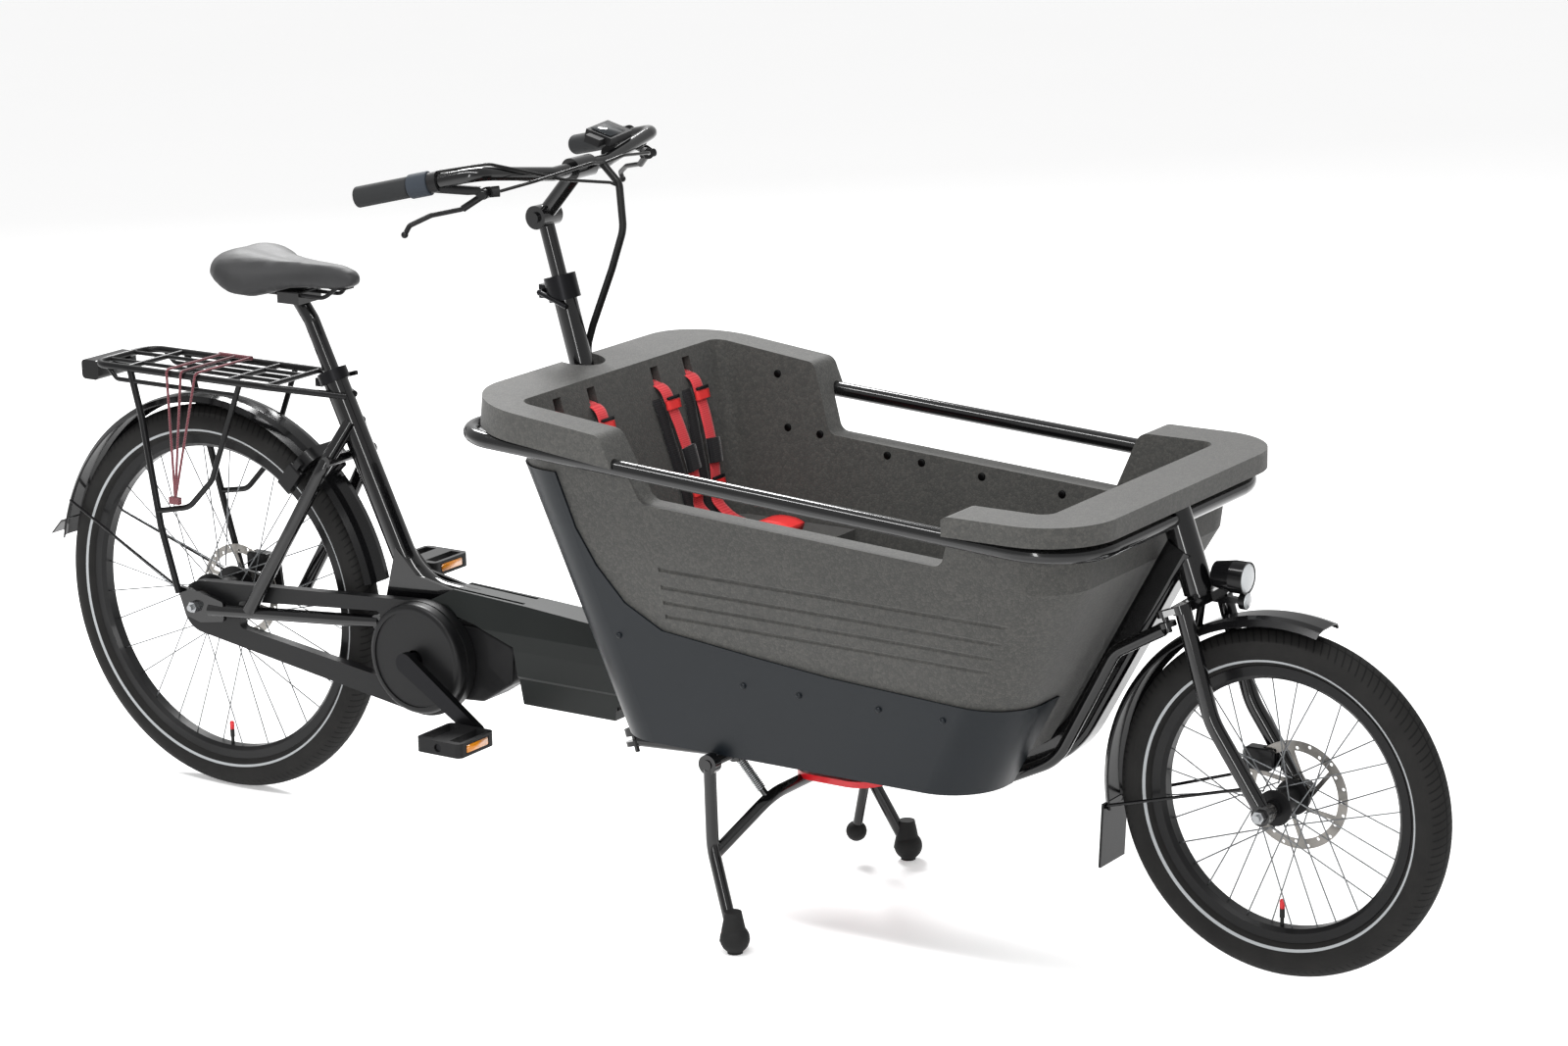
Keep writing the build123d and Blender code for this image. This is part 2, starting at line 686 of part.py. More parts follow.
with BuildPart() as chain:
    add(loop_plate(
        (0, rear_tyre_radius), sprocket_pitch_radius + chain_half_depth, (crank_centre_x, crank_centre_z),
        ring_pitch_radius + chain_half_depth, -chainline - chain_half_width, -chainline + chain_half_width))
    add(loop_plate(
        (0, rear_tyre_radius), sprocket_pitch_radius - chain_half_depth, (crank_centre_x, crank_centre_z),
        ring_pitch_radius - chain_half_depth, -chainline - 10, -chainline + 10), mode=Mode.SUBTRACT)
chain.part.label = "chain"
export_step(chain.part, "parts/chain.step")

tooth_gap = 0.4
with BuildPart() as rear_sprocket:
    add(axle_disc(rear_axle, sprocket_pitch_radius - chain_half_depth - tooth_gap, -chainline - 2, -chainline + 2))
    add(axle_disc(rear_axle, 14.0, -chainline - 4, -hub_flange_half - 3))
    for number in range(6):
        turn = radians(number * 60.0)
        hole = (rear_axle[0] + 20.5 * cos(turn), 0, rear_axle[2] + 20.5 * sin(turn))
        add(axle_disc(hole, 4.0, -chainline - 5, -chainline + 5), mode=Mode.SUBTRACT)
    add(axle_disc(rear_axle, axle_diameter / 2 + bearing_gap, -90, 90), mode=Mode.SUBTRACT)
rear_sprocket.part.label = "rear_sprocket"
export_step(rear_sprocket.part, "parts/rear_sprocket.step")

with BuildPart() as chainring:
    add(axle_disc(crank_centre, ring_pitch_radius - chain_half_depth - tooth_gap, -chainline - 2, -chainline + 2))
    add(axle_disc(crank_centre, 20.0, -chainline - 6, -chainline + 6))
    for number in range(8):
        turn = radians(number * 45.0)
        hole = (crank_centre_x + 45 * cos(turn), 0, crank_centre_z + 45 * sin(turn))
        add(axle_disc(hole, 12.0, -chainline - 5, -chainline + 5), mode=Mode.SUBTRACT)
    add(axle_disc(crank_centre, spindle_radius, -90, 90), mode=Mode.SUBTRACT)
chainring.part.label = "chainring"
export_step(chainring.part, "parts/chainring.step")

crank_inner = 90.0
crank_thickness = 13.0
crank_end_x = crank_length * cos(radians(crank_angle))
crank_end_z = crank_length * sin(radians(crank_angle))
pedal_pin_radius = 7.0


def crank_arm(direction, low, high):
    """Tapered crank arm from the spindle out to the pedal's axis."""
    return loop_plate(
        (crank_centre_x + direction * crank_end_x, crank_centre_z + direction * crank_end_z), 12.0,
        (crank_centre_x, crank_centre_z), 17.0, low, high)


with BuildPart() as crank_arms:
    add(axle_disc(crank_centre, spindle_radius, -crank_inner - 5, crank_inner + 5))
    add(crank_arm(1, -crank_inner - crank_thickness, -crank_inner))
    add(crank_arm(-1, crank_inner, crank_inner + crank_thickness))
    for direction, side in ((1, -1), (-1, 1)):
        pin = (crank_centre_x + direction * crank_end_x, 0, crank_centre_z + direction * crank_end_z)
        ends = sorted((side * (crank_inner + 5), side * (crank_inner + 106)))
        add(axle_disc(pin, pedal_pin_radius, ends[0], ends[1]))
crank_arms.part.label = "crank_arms"
export_step(crank_arms.part, "parts/crank_arms.step")


def make_pedal(direction, side):
    """Platform pedal: a ribbed body on the pin, with a reflector in its front and rear edges."""
    centre_x = crank_centre_x + direction * crank_end_x
    centre_z = crank_centre_z + direction * crank_end_z
    half_length = 45.0
    half_width = 46.0
    half_height = 12.0
    inner = crank_inner + crank_thickness + 4
    with BuildPart() as pedal:
        with BuildSketch(Plane.XY.offset(centre_z - half_height)):
            with Locations((centre_x, side * (inner + half_width))):
                RectangleRounded(2 * half_length, 2 * half_width, 10)
        extrude(amount=2 * half_height)
        for offset in (-27.0, 27.0):
            with Locations((centre_x + offset, side * (inner + half_width), centre_z)):
                Box(22, 2 * half_width - 22, 2 * half_height, mode=Mode.SUBTRACT)
        for end in (-1, 1):
            with Locations((centre_x + end * half_length, side * (inner + half_width), centre_z)):
                Box(8, 60, 15, mode=Mode.SUBTRACT)
            with Locations((centre_x + end * (half_length - 2.5), side * (inner + half_width), centre_z)):
                Box(3, 59, 14)
        bore = sorted((side * (inner - 5), side * (inner + 2 * half_width + 5)))
        add(axle_disc((centre_x, 0, centre_z), pedal_pin_radius + bearing_gap, bore[0], bore[1]),
            mode=Mode.SUBTRACT)
    return pedal.part


with BuildPart() as right_pedal:
    add(make_pedal(1, -1))
right_pedal.part.label = "right_pedal"
export_step(right_pedal.part, "parts/right_pedal.step")

with BuildPart() as left_pedal:
    add(make_pedal(-1, 1))
left_pedal.part.label = "left_pedal"
export_step(left_pedal.part, "parts/left_pedal.step")

# ---------------------------------------------------------------- box
box_top = 850.0
knee_height = 640.0
rear_face_slope = column_slope
front_face_slope = 0.55
side_slope = 0.2
box_corner = 85.0
inner_corner = 24.0


def box_section(height, grow):
    """Rear, front and half width of the box's outside at a height, grown outwards by an amount."""
    rear = 845.0 - rear_face_slope * (height - 711.0)
    front = 1618.0 + front_face_slope * (min(height, knee_height) - 300.0)
    if height > knee_height:
        front += 0.05 * (height - knee_height)
    half = box_bottom_half + side_slope * (height - 300.0)
    return rear - grow, front + grow, half + grow


def box_body(low, high, grow, corner=box_corner):
    """Tapered body of the box between two heights, grown outwards by an amount."""
    heights = [low, high] if high <= knee_height or low >= knee_height else [low, knee_height, high]
    with BuildPart() as body:
        for height in heights:
            rear, front, half = box_section(height, grow)
            with BuildSketch(Plane.XY.offset(height)):
                with Locations(((rear + front) / 2, 0)):
                    RectangleRounded(front - rear, 2 * half, corner)
        loft(ruled=True)
    return body.part


rim_front_x = 1044.0
rim_front_z = 802.0
rim_slope = 0.11
rim_rear_x = 765.0
rim_half = rail_half + 17.0
cap_rear_x = 1640.0
cap_front_x = 1862.0
cap_top_z = 757.0
cap_thickness = 30.0
sill_rear_z = 694.0
sill_front_z = 664.0
notch_radius = 38.0
rim_corner = 120.0
belt_slots = (-173.0, -85.0, 85.0, 173.0)
belt_slot_height = 793.0
belt_slot_width = 20.0
belt_slot_length = 34.0
belt_slot_depth = 20.0
groove_diameter = 8.0


def rim_outline(low, high):
    """Solid above and below the box's top edge line as seen from the side, between two Y planes."""
    with BuildPart() as side_view:
        with BuildSketch(Plane(origin=(0, low, 0), x_dir=(1, 0, 0), z_dir=(0, -1, 0))) as face:
            Polygon(
                (700, 200), (700, rim_front_z + rim_slope * (rim_front_x - 700)), (rim_front_x, rim_front_z),
                (1086, sill_rear_z), (1606, sill_front_z), (cap_rear_x, cap_top_z), (1950, cap_top_z),
                (1950, 200), align=None)
            corners = face.vertices().filter_by_position(Axis.X, 1000, 1700)
            fillet(corners, 20)
        extrude(amount=-(high - low))
    return side_view.part


rim_plane = Plane(
    origin=(rim_front_x, 0, rim_front_z), x_dir=(1, 0, -rim_slope),
    z_dir=(rim_slope, 0, 1))
with BuildPart() as box_shell:
    add(box_body(box_floor_height, box_top, 0.0))
    # thick rolled rim around the rider's end
    with BuildSketch(rim_plane.offset(-rim_drop)):
        with Locations(((rim_rear_x - rim_front_x + 300) / 2, 0)):
            RectangleRounded(rim_front_x - rim_rear_x + 300, 2 * rim_half, rim_corner)
    extrude(amount=rim_drop + 60)
    add(side_plate(
        [(1068, 640), (1500, 640), (1500, 900), (1068, 900)], rim_half - 60, rim_half + 10), mode=Mode.SUBTRACT)
    add(side_plate(
        [(1068, 640), (1500, 640), (1500, 900), (1068, 900)], -rim_half - 10, -rim_half + 60), mode=Mode.SUBTRACT)
    add(box_body(box_floor_height, box_top, 0.0))
    # cap around the front end
    with BuildSketch(Plane.XY.offset(cap_top_z - cap_thickness)):
        with Locations(((cap_rear_x - 300 + cap_front_x) / 2, 0)):
            RectangleRounded(cap_front_x - cap_rear_x + 300, 2 * (rim_half + 6), 110)
        with Locations((cap_rear_x - 200, 0)):
            Rectangle(400, 900, mode=Mode.SUBTRACT)
    extrude(amount=cap_thickness)
    add(rim_outline(-400, 400), mode=Mode.INTERSECT)
    # hollow inside
    add(box_body(box_floor_height + 20, box_top + 30, -box_wall, inner_corner), mode=Mode.SUBTRACT)
    # notch for the steering column and clearance for the rail and the welded tubes
    add(column_bar(740, 900, 2 * notch_radius), mode=Mode.SUBTRACT)
    with Locations((on_column(800)[0] - 40, 0, 800)):
        Box(80, 2 * notch_radius, 140, mode=Mode.SUBTRACT)
    add(rail_loop(rail_diameter + 1.0), mode=Mode.SUBTRACT)
    add(column_bar(housing_low, housing_high + 1, housing_diameter + 1), mode=Mode.SUBTRACT)
    add(head_bar(head_low, head_high + 14, head_tube_diameter + 6), mode=Mode.SUBTRACT)
    add(beam_bar(-1.0), mode=Mode.SUBTRACT)
    # pockets in the seat back that the shoulder straps come out of
    slot_front = box_section(belt_slot_height, -box_wall)[0]
    for middle in belt_slots:
        with Locations((slot_front, middle, belt_slot_height)):
            Box(2 * belt_slot_depth, belt_slot_width, belt_slot_length, mode=Mode.SUBTRACT)
    # pressed grooves along both sides
    for height in (590.0, 561.0, 536.0, 513.0):
        half = box_section(height, 0.0)[2]
        for side in (-1, 1):
            add(bar([(1100, side * (half + 1), height), (1735, side * (half + 1), height - 6)], groove_diameter),
                mode=Mode.SUBTRACT)
box_shell.part.label = "box_shell"
export_step(box_shell.part, "parts/box_shell.step")

bench_rear_x = 900.0
bench_front_x = 1150.0
bench_thickness = 34.0
with BuildPart() as box_bench:
    add(box_body(box_floor_height + 20, box_top, -box_wall - 0.3, inner_corner))
    add(side_plate(
        [(bench_rear_x - 60, bench_height), (bench_front_x, bench_height), (bench_front_x - 30, 300),
         (bench_front_x - 30 - bench_thickness, 300),
         (bench_front_x - 8 - bench_thickness, bench_height - bench_thickness),
         (bench_rear_x - 60, bench_height - bench_thickness)], -300, 300), mode=Mode.INTERSECT)
box_bench.part.label = "box_bench"
export_step(box_bench.part, "parts/box_bench.step")

# Plastic skirt around the foot of the box, open below and where the frame passes.
skirt_bottom = 294.0
skirt_profile = [
    (740, 760), (845, 728), (936, 728), (958, 640), (986, 582), (1029, 526), (1092, 489), (1269, 469),
    (1390, 457), (1674, 442), (1900, 430), (1900, 200), (740, 200)]
rivet_radius = 5.0
with BuildPart() as box_skirt:
    add(box_body(skirt_bottom, 740, skirt_gap + skirt_thickness, box_corner + skirt_gap + skirt_thickness))
    add(side_plate(skirt_profile, -400, 400), mode=Mode.INTERSECT)
    with Locations((880, 0, 500)):
        Box(260, 110, 560, mode=Mode.SUBTRACT)
    with Locations((1680, 0, 400)):
        Box(300, 190, 400, mode=Mode.SUBTRACT)
    add(rail_loop(rail_diameter + 1.0), mode=Mode.SUBTRACT)
    for station in (1010.0, 1130.0, 1230.0, 1330.0, 1470.0, 1580.0):
        for side in (-1, 1):
            rivet_z = 420.0 if station > 1100 else 470.0
            wall = side * (box_section(rivet_z, 0.0)[2] + skirt_gap + skirt_thickness)
            with Locations((station, wall, rivet_z)):
                Sphere(rivet_radius)
    add(box_body(skirt_bottom - 10, 750, skirt_gap, box_corner + skirt_gap), mode=Mode.SUBTRACT)
box_skirt.part.label = "box_skirt"
export_step(box_skirt.part, "parts/box_skirt.step")

# Child harness: two seats, two shoulder straps each, ending in a buckle on the bench.
strap_thickness = 3.0


def back_x(height, off):
    """X of a point a little in front of the seat back."""
    return box_section(height, -box_wall)[0] + off


with BuildPart() as harness_straps:
    for middle in belt_slots:
        inset = 1.0
        add(side_plate(
            [(back_x(792, inset), 792), (back_x(792, inset + strap_thickness), 792),
             (back_x(bench_height + 30, inset + strap_thickness), bench_height + 30),
             (back_x(bench_height, 40), bench_height + 1 + strap_thickness),
             (1075, bench_height + 1 + strap_thickness), (1075, bench_height + 1),
             (back_x(bench_height, 38), bench_height + 1),
             (back_x(bench_height + 28, inset), bench_height + 28)],
            middle - belt_width / 2, middle + belt_width / 2))
    for middle in (-129.0, 129.0):
        with Locations((1062, middle, bench_height + 12)):
            Box(56, 110, 20)
harness_straps.part.label = "harness_straps"
export_step(harness_straps.part, "parts/harness_straps.step")

# ---------------------------------------------------------------- fork and front end
fork_route = [
    (on_head(588)[0], fork_leg_half, 596), (1932, fork_leg_half, 428), (wheelbase, fork_leg_half, front_axle_z)]
fork_bend = 120.0
steer_arm_back = 24.0
steer_arm_side = 72.0
lug_low = 584.0
lug_high = 597.0
stud_diameter = 10.0
stud_length = 26.0
front_eye_radius = 14.0
front_eye_bore = 8.5
with BuildPart() as fork:
    leg = bar(fork_route, fork_leg_diameter, [fork_bend])
    add(both_sides(leg))
    with BuildSketch(head_plane(lug_low)):
        Circle(21)
        with Locations((0, -fork_leg_half), (0, fork_leg_half)):
            Circle(14)
        make_hull()
    extrude(amount=13)
    add(head_bar(lug_low, head_low - 0.6, 40.0))
    add(head_bar(lug_low, head_high + 3, steerer_diameter))
    with BuildSketch(head_plane(lug_low + 2)):
        with Locations((-steer_arm_back, -steer_arm_side), (0, -fork_leg_half)):
            Circle(11)
        make_hull()
    extrude(amount=9)
    with BuildSketch(head_plane(lug_low + 4)):
        with Locations((-steer_arm_back, -steer_arm_side)):
            Circle(stud_diameter / 2)
    extrude(amount=-stud_length)
    for side in (-1, 1):
        low, high = sorted((side * (fork_leg_half - 13), side * (fork_leg_half + 13)))
        add(axle_disc(front_axle, 15.0, low, high))
    add(axle_disc(front_axle, axle_diameter / 2, -90, 90), mode=Mode.SUBTRACT)
fork.part.label = "fork"
export_step(fork.part, "parts/fork.step")

with BuildPart() as front_axle_bar:
    add(axle_bar(front_axle, 88.0, fork_leg_half + 13, fork_leg_half + 21))
front_axle_bar.part.label = "front_axle_bar"
export_step(front_axle_bar.part, "parts/front_axle_bar.step")


def mudguard_band(axle, radius, half, start, sweep_angle):
    """Curved mudguard: a shallow channel turned about the axle from a start angle, going rearwards."""
    skin = 2.2
    outside = [(radius - 11, -half), (radius - 3, -half + 8), (radius, -half + 20),
               (radius, half - 20), (radius - 3, half - 8), (radius - 11, half)]
    inside = [(reach - skin, side * (1 - skin / abs(side)) if abs(abs(side) - half) < 1 else side)
              for reach, side in reversed(outside)]
    turn = radians(start)
    with BuildPart() as band:
        with BuildSketch(Plane(origin=axle, x_dir=(cos(turn), 0, sin(turn)), z_dir=(-sin(turn), 0, cos(turn)))):
            Polygon(*outside, *inside, align=None)
        revolve(axis=Axis(axle, (0, -1, 0)), revolution_arc=sweep_angle)
    return band.part


def round_point(axle, radius, angle, side=0.0):
    """Point at a radius and an angle about an axle."""
    return (axle[0] + radius * cos(radians(angle)), side, axle[2] + radius * sin(radians(angle)))


stay_wire = 5.0
front_guard_radius = 283.0
front_guard_half = 37.0
with BuildPart() as front_mudguard:
    add(mudguard_band(front_axle, front_guard_radius, front_guard_half, 76.0, 114.0))
    flap_top = round_point(front_axle, front_guard_radius - 1, 188)
    flap_end = round_point(front_axle, 318, 206)
    add(side_plate(
        [(flap_top[0] - 1, flap_top[2]), (flap_top[0] + 3, flap_top[2]),
         (flap_end[0] + 4, flap_end[2]), (flap_end[0], flap_end[2])], -front_guard_half, front_guard_half))
    crown_foot = round_point(front_axle, front_guard_radius - 1, 120)
    add(bar([crown_foot, (crown_foot[0] + 6, 0, lug_low + 6)], 12.0))
    for side in (-1, 1):
        stay_end = round_point(front_axle, front_guard_radius - 9, 188.5, side * (front_guard_half - 3))
        add(bar([(wheelbase - 26, side * (fork_leg_half + 6), front_axle_z + 36), stay_end], stay_wire))
    add(head_bar(lug_low, lug_low + 20, 44.0), mode=Mode.SUBTRACT)
    add(fork.part, mode=Mode.SUBTRACT)
front_mudguard.part.label = "front_mudguard"
export_step(front_mudguard.part, "parts/front_mudguard.step")

lamp_centre = (1928.0, 0.0, 631.0)
lamp_radius = 24.0
with BuildPart() as headlight:
    with BuildSketch(Plane(origin=(lamp_centre[0] - 24, 0, lamp_centre[2]), x_dir=(0, 1, 0), z_dir=(1, 0, 0))):
        Circle(lamp_radius - 5)
    with BuildSketch(Plane(origin=(lamp_centre[0] + 6, 0, lamp_centre[2]), x_dir=(0, 1, 0), z_dir=(1, 0, 0))):
        Circle(lamp_radius)
    with BuildSketch(Plane(origin=(lamp_centre[0] + 28, 0, lamp_centre[2]), x_dir=(0, 1, 0), z_dir=(1, 0, 0))):
        Circle(lamp_radius)
    loft(ruled=True)
    with BuildSketch(Plane(origin=(lamp_centre[0] + 22, 0, lamp_centre[2]), x_dir=(0, 1, 0), z_dir=(1, 0, 0))):
        Circle(lamp_radius - 2)
    extrude(amount=10, mode=Mode.SUBTRACT)
    with BuildSketch(Plane(origin=(lamp_centre[0] + 22, 0, lamp_centre[2]), x_dir=(0, 1, 0), z_dir=(1, 0, 0))):
        Circle(lamp_radius - 2.2)
    extrude(amount=4)
    # arm up from the crown, with a reflector below the lamp
    add(side_plate(
        [(1896, 590), (1912, 590), (1950, 593), (1950, 600), (1920, 601), (1930, 612), (1918, 616), (1898, 602)],
        -5, 5))
    with BuildSketch(Plane(origin=(1946, 0, 597), x_dir=(0, 1, 0), z_dir=(1, 0, 0))):
        Circle(13)
    extrude(amount=9)
    add(fork.part, mode=Mode.SUBTRACT)
headlight.part.label = "headlight"
export_step(headlight.part, "parts/headlight.step")


def make_caliper(axle, angle, tab_outer):
    """Disc brake caliper: a block that straddles the brake disc, with a mounting tab."""
    middle = round_point(axle, rotor_radius - 6, angle)
    inner_y = 9.0
    half_y = 13.0
    with BuildPart() as caliper:
        with BuildSketch(cross_plane((middle[0], rotor_offset - inner_y, middle[2]))):
            RectangleRounded(50, 34, 9)
        extrude(amount=-inner_y - half_y)
        fillet(caliper.faces().filter_by(Axis.Y).edges(), 2.5)
        add(axle_disc(axle, rotor_radius + 2, rotor_offset - 2.2, rotor_offset + 2.2), mode=Mode.SUBTRACT)
        low, high = sorted((rotor_offset + half_y - 4, tab_outer))
        add(axle_disc((middle[0] - 16, 0, middle[2]), 7.0, low, high))
        add(axle_disc((middle[0] + 16, 0, middle[2]), 7.0, low, high))
    return caliper.part


with BuildPart() as front_caliper:
    add(make_caliper(front_axle, 142.0, fork_leg_half + 6))
    add(fork.part, mode=Mode.SUBTRACT)
front_caliper.part.label = "front_caliper"
export_step(front_caliper.part, "parts/front_caliper.step")

with BuildPart() as rear_caliper:
    add(make_caliper(rear_axle, 50.0, 64.0))
    middle = round_point(rear_axle, rotor_radius - 6, 50.0)
    add(side_plate(
        [(middle[0] - 24, middle[2] + 8), (middle[0] + 24, middle[2] + 8), (middle[0] + 30, 344),
         (middle[0] - 10, 344)], 60, 66))
    add(rear_triangle.part, mode=Mode.SUBTRACT)
rear_caliper.part.label = "rear_caliper"
export_step(rear_caliper.part, "parts/rear_caliper.step")

# ---------------------------------------------------------------- rear end
rear_guard_radius = 357.0
rear_guard_half = 32.0
with BuildPart() as rear_mudguard:
    add(mudguard_band(rear_axle, rear_guard_radius, rear_guard_half, 12.0, 157.0))
    tail_high = round_point(rear_axle, rear_guard_radius - 1, 164)
    tail_low = round_point(rear_axle, 374, 169)
    add(side_plate(
        [(tail_high[0] - 1, tail_high[2]), (tail_high[0] + 2.5, tail_high[2]),
         (tail_low[0] + 2.5, tail_low[2]), (tail_low[0] - 1, tail_low[2])], -rear_guard_half, rear_guard_half))
    for side in (-1, 1):
        stay_end = round_point(rear_axle, rear_guard_radius - 9, 157, side * (rear_guard_half - 3))
        add(bar([(-34, side * 64, 352), stay_end], stay_wire))
    foot = round_point(rear_axle, rear_guard_radius - 1, 44)
    add(bar([foot, (foot[0] + 22, 0, foot[2] + 20)], 12.0))
    add(rear_triangle.part, mode=Mode.SUBTRACT)
rear_mudguard.part.label = "rear_mudguard"
export_step(rear_mudguard.part, "parts/rear_mudguard.step")

rack_rear_x = -205.0
rack_front_x = 180.0
rack_leg_side = 82.0
side_tube = 10.0
with BuildPart() as rack:
    right_half = bar(
        [(300, -10, 720), (rack_front_x, -rack_half, rack_height), (rack_rear_x, -rack_half, rack_height),
         (rack_rear_x, 0, rack_height)], rack_tube_diameter, [30.0, 30.0])
    add(both_sides(right_half))
    for station in (-130.0, -20.0, 90.0, 176.0):
        half = rack_half - (3 if station > 170 else 0)
        add(bar([(station, -half, rack_height), (station, half, rack_height)], 9.0))
    for lane in (-30.0, 30.0):
        add(bar([(-204, lane, rack_height), (176, lane, rack_height)], 7.0))
    leg = bar(
        [(-121, -rack_half, rack_height), (-100, -rack_half, 650), (-62, -rack_leg_side, 470),
         (-30, -rack_leg_side, 356)], rack_tube_diameter, [40.0, 60.0])
    leg += bar(
        [(123, -rack_half, rack_height), (50, -rack_half, 560), (-2, -rack_half - 2, 508), (-68, -rack_leg_side, 495)],
        side_tube, [40.0, 40.0])
    leg += bar([(-170, -rack_half, rack_height - 3), (-150, -rack_half - 1, 714), (112, -rack_half - 1, 714)],
               side_tube - 2, [12.0])
    add(both_sides(leg))
    add(bar(main_route, main_tube_diameter, [main_bend_radius]), mode=Mode.SUBTRACT)
    for side in (-1, 1):
        low, high = sorted((side * (dropout_outer - 20), side * dropout_outer))
        add(axle_disc((-30, 0, 356), 40.0, low, high), mode=Mode.SUBTRACT)
rack.part.label = "rack"
export_step(rack.part, "parts/rack.step")

strap_cord = 4.5
hook = (-27.0, -rack_half - 9.0, 518.0)
with BuildPart() as rack_straps:
    for station in (-30.0, 2.0, 34.0):
        add(bar(
            [(station, 58, rack_height + 9), (station, -rack_half - 9, rack_height + 9), hook],
            strap_cord, [7.0]))
    add(bar([(-34, 58, rack_height + 9), (38, 58, rack_height + 9)], 8.0))
    with Locations(hook):
        Box(22, 8, 12)
rack_straps.part.label = "rack_straps"
export_step(rack_straps.part, "parts/rack_straps.step")

tail_lamp_centre = (-236.0, 0.0, 716.0)
with BuildPart() as tail_light:
    with Locations(tail_lamp_centre):
        Box(38, 96, 34)
    fillet(tail_light.edges().filter_by(Axis.Y), 8.0)
    with BuildSketch(Plane.XY.offset(rack_height - 12)):
        with Locations((rack_rear_x - 8, 0)):
            Rectangle(30, 40)
    extrude(amount=6)
    add(bar([(rack_rear_x, -90, rack_height), (rack_rear_x, 90, rack_height)], rack_tube_diameter), mode=Mode.SUBTRACT)
tail_light.part.label = "tail_light"
export_step(tail_light.part, "parts/tail_light.step")

# Ring lock around the rear wheel, held between the seat stays.
lock_angle = radians(50.0)
lock_plane = Plane(
    origin=rear_axle, x_dir=(cos(lock_angle), 0, sin(lock_angle)), z_dir=(-sin(lock_angle), 0, cos(lock_angle)))
with BuildPart() as ring_lock:
    with BuildSketch(lock_plane.offset(-11)):
        with Locations((334, 0)):
            RectangleRounded(84, 98, 26)
        with Locations((300, 0)):
            RectangleRounded(124, 74, 26, mode=Mode.SUBTRACT)
    extrude(amount=22)
    with BuildSketch(lock_plane.offset(-14)):
        with Locations((318, -47)):
            RectangleRounded(52, 16, 6)
    extrude(amount=28)
    for side in (-1, 1):
        with BuildSketch(lock_plane.offset(-6)):
            with Locations((352, side * 48)):
                Rectangle(14, 22)
        extrude(amount=12)
    add(rear_triangle.part, mode=Mode.SUBTRACT)
    add(mudguard_band(rear_axle, rear_guard_radius + 1, rear_guard_half + 1, 30.0, 40.0), mode=Mode.SUBTRACT)
ring_lock.part.label = "ring_lock"
export_step(ring_lock.part, "parts/ring_lock.step")

clamp_height = 20.0
with BuildPart() as seat_clamp:
    add(seat_bar(-clamp_height, 0, main_tube_diameter + 9))
    add(seat_bar(-clamp_height - 5, 5, main_tube_diameter), mode=Mode.SUBTRACT)
    clamp_middle = seat_top + seat_axis * (-clamp_height / 2)
    with Locations((clamp_middle.X - 27, 0, clamp_middle.Z - 12)):
        Box(12, 18, 14)
    add(bar([(clamp_middle.X - 27, -8, clamp_middle.Z - 12), (clamp_middle.X - 27, 26, clamp_middle.Z - 12)], 8.0))
    add(bar([(clamp_middle.X - 27, 26, clamp_middle.Z - 12), (clamp_middle.X + 22, 33, clamp_middle.Z + 2)], 8.0))
    add(seat_bar(-60, 5, main_tube_diameter), mode=Mode.SUBTRACT)
seat_clamp.part.label = "seat_clamp"
export_step(seat_clamp.part, "parts/seat_clamp.step")

seatpost_inserted = 112.0
seatpost_straight = 90.0
seat_head = (200.0, 0.0, 872.0)
rail_spacing = 22.0
saddle_rail_diameter = 7.0
with BuildPart() as seatpost:
    low_end = seat_top - seat_axis * seatpost_inserted
    knee = seat_top + seat_axis * seatpost_straight
    add(bar([tuple(low_end), tuple(knee), seat_head], seatpost_diameter, [45.0]))
    with Locations((seat_head[0], 0, seat_head[2] + 8)):
        Box(46, 2 * rail_spacing + 14, 22)
    fillet(seatpost.faces().sort_by(Axis.Z)[-1].edges(), 4.0)
    for side in (-1, 1):
        add(bar([(100, side * rail_spacing, 884), (300, side * rail_spacing, 884)], saddle_rail_diameter),
            mode=Mode.SUBTRACT)
seatpost.part.label = "seatpost"
export_step(seatpost.part, "parts/seatpost.step")

saddle_base_z = 902.0
saddle_top_z = 946.0
with BuildPart() as saddle_rails:
    rail = bar(
        [(300, -9, 908), (272, -rail_spacing, 884), (135, -rail_spacing, 884), (82, -42, 908)],
        saddle_rail_diameter, [24.0, 24.0])
    add(both_sides(rail))
    with BuildSketch(Plane.XY.offset(saddle_base_z - 3)):
        with Locations((78, 0)):
            RectangleRounded(34, 110, 10)
        with Locations((292, 0)):
            RectangleRounded(34, 36, 10)
    extrude(amount=3)
    with BuildSketch(Plane.XY.offset(saddle_base_z)):
        with Locations((190, 0)):
            Rectangle(600, 400)
    extrude(amount=60, mode=Mode.SUBTRACT)
saddle_rails.part.label = "saddle_rails"
export_step(saddle_rails.part, "parts/saddle_rails.step")

with BuildPart() as saddle_cushion:
    with BuildSketch(Plane.XY.offset(saddle_base_z)):
        with BuildLine():
            Line((saddle_nose_x, -14), (saddle_nose_x, 14))
            Spline((saddle_nose_x, 14), (saddle_nose_x - 95, 30), (140, 74), (92, saddle_half_width),
                   (saddle_tail_x + 4, 66), (saddle_tail_x + 12, 0), (saddle_tail_x + 4, -66),
                   (92, -saddle_half_width), (140, -74), (saddle_nose_x - 95, -30), (saddle_nose_x, -14))
        make_face()
    extrude(amount=saddle_top_z - saddle_base_z)
    fillet(saddle_cushion.faces().sort_by(Axis.Z)[-1].edges(), 11.0)
saddle_cushion.part.label = "saddle_cushion"
export_step(saddle_cushion.part, "parts/saddle_cushion.step")

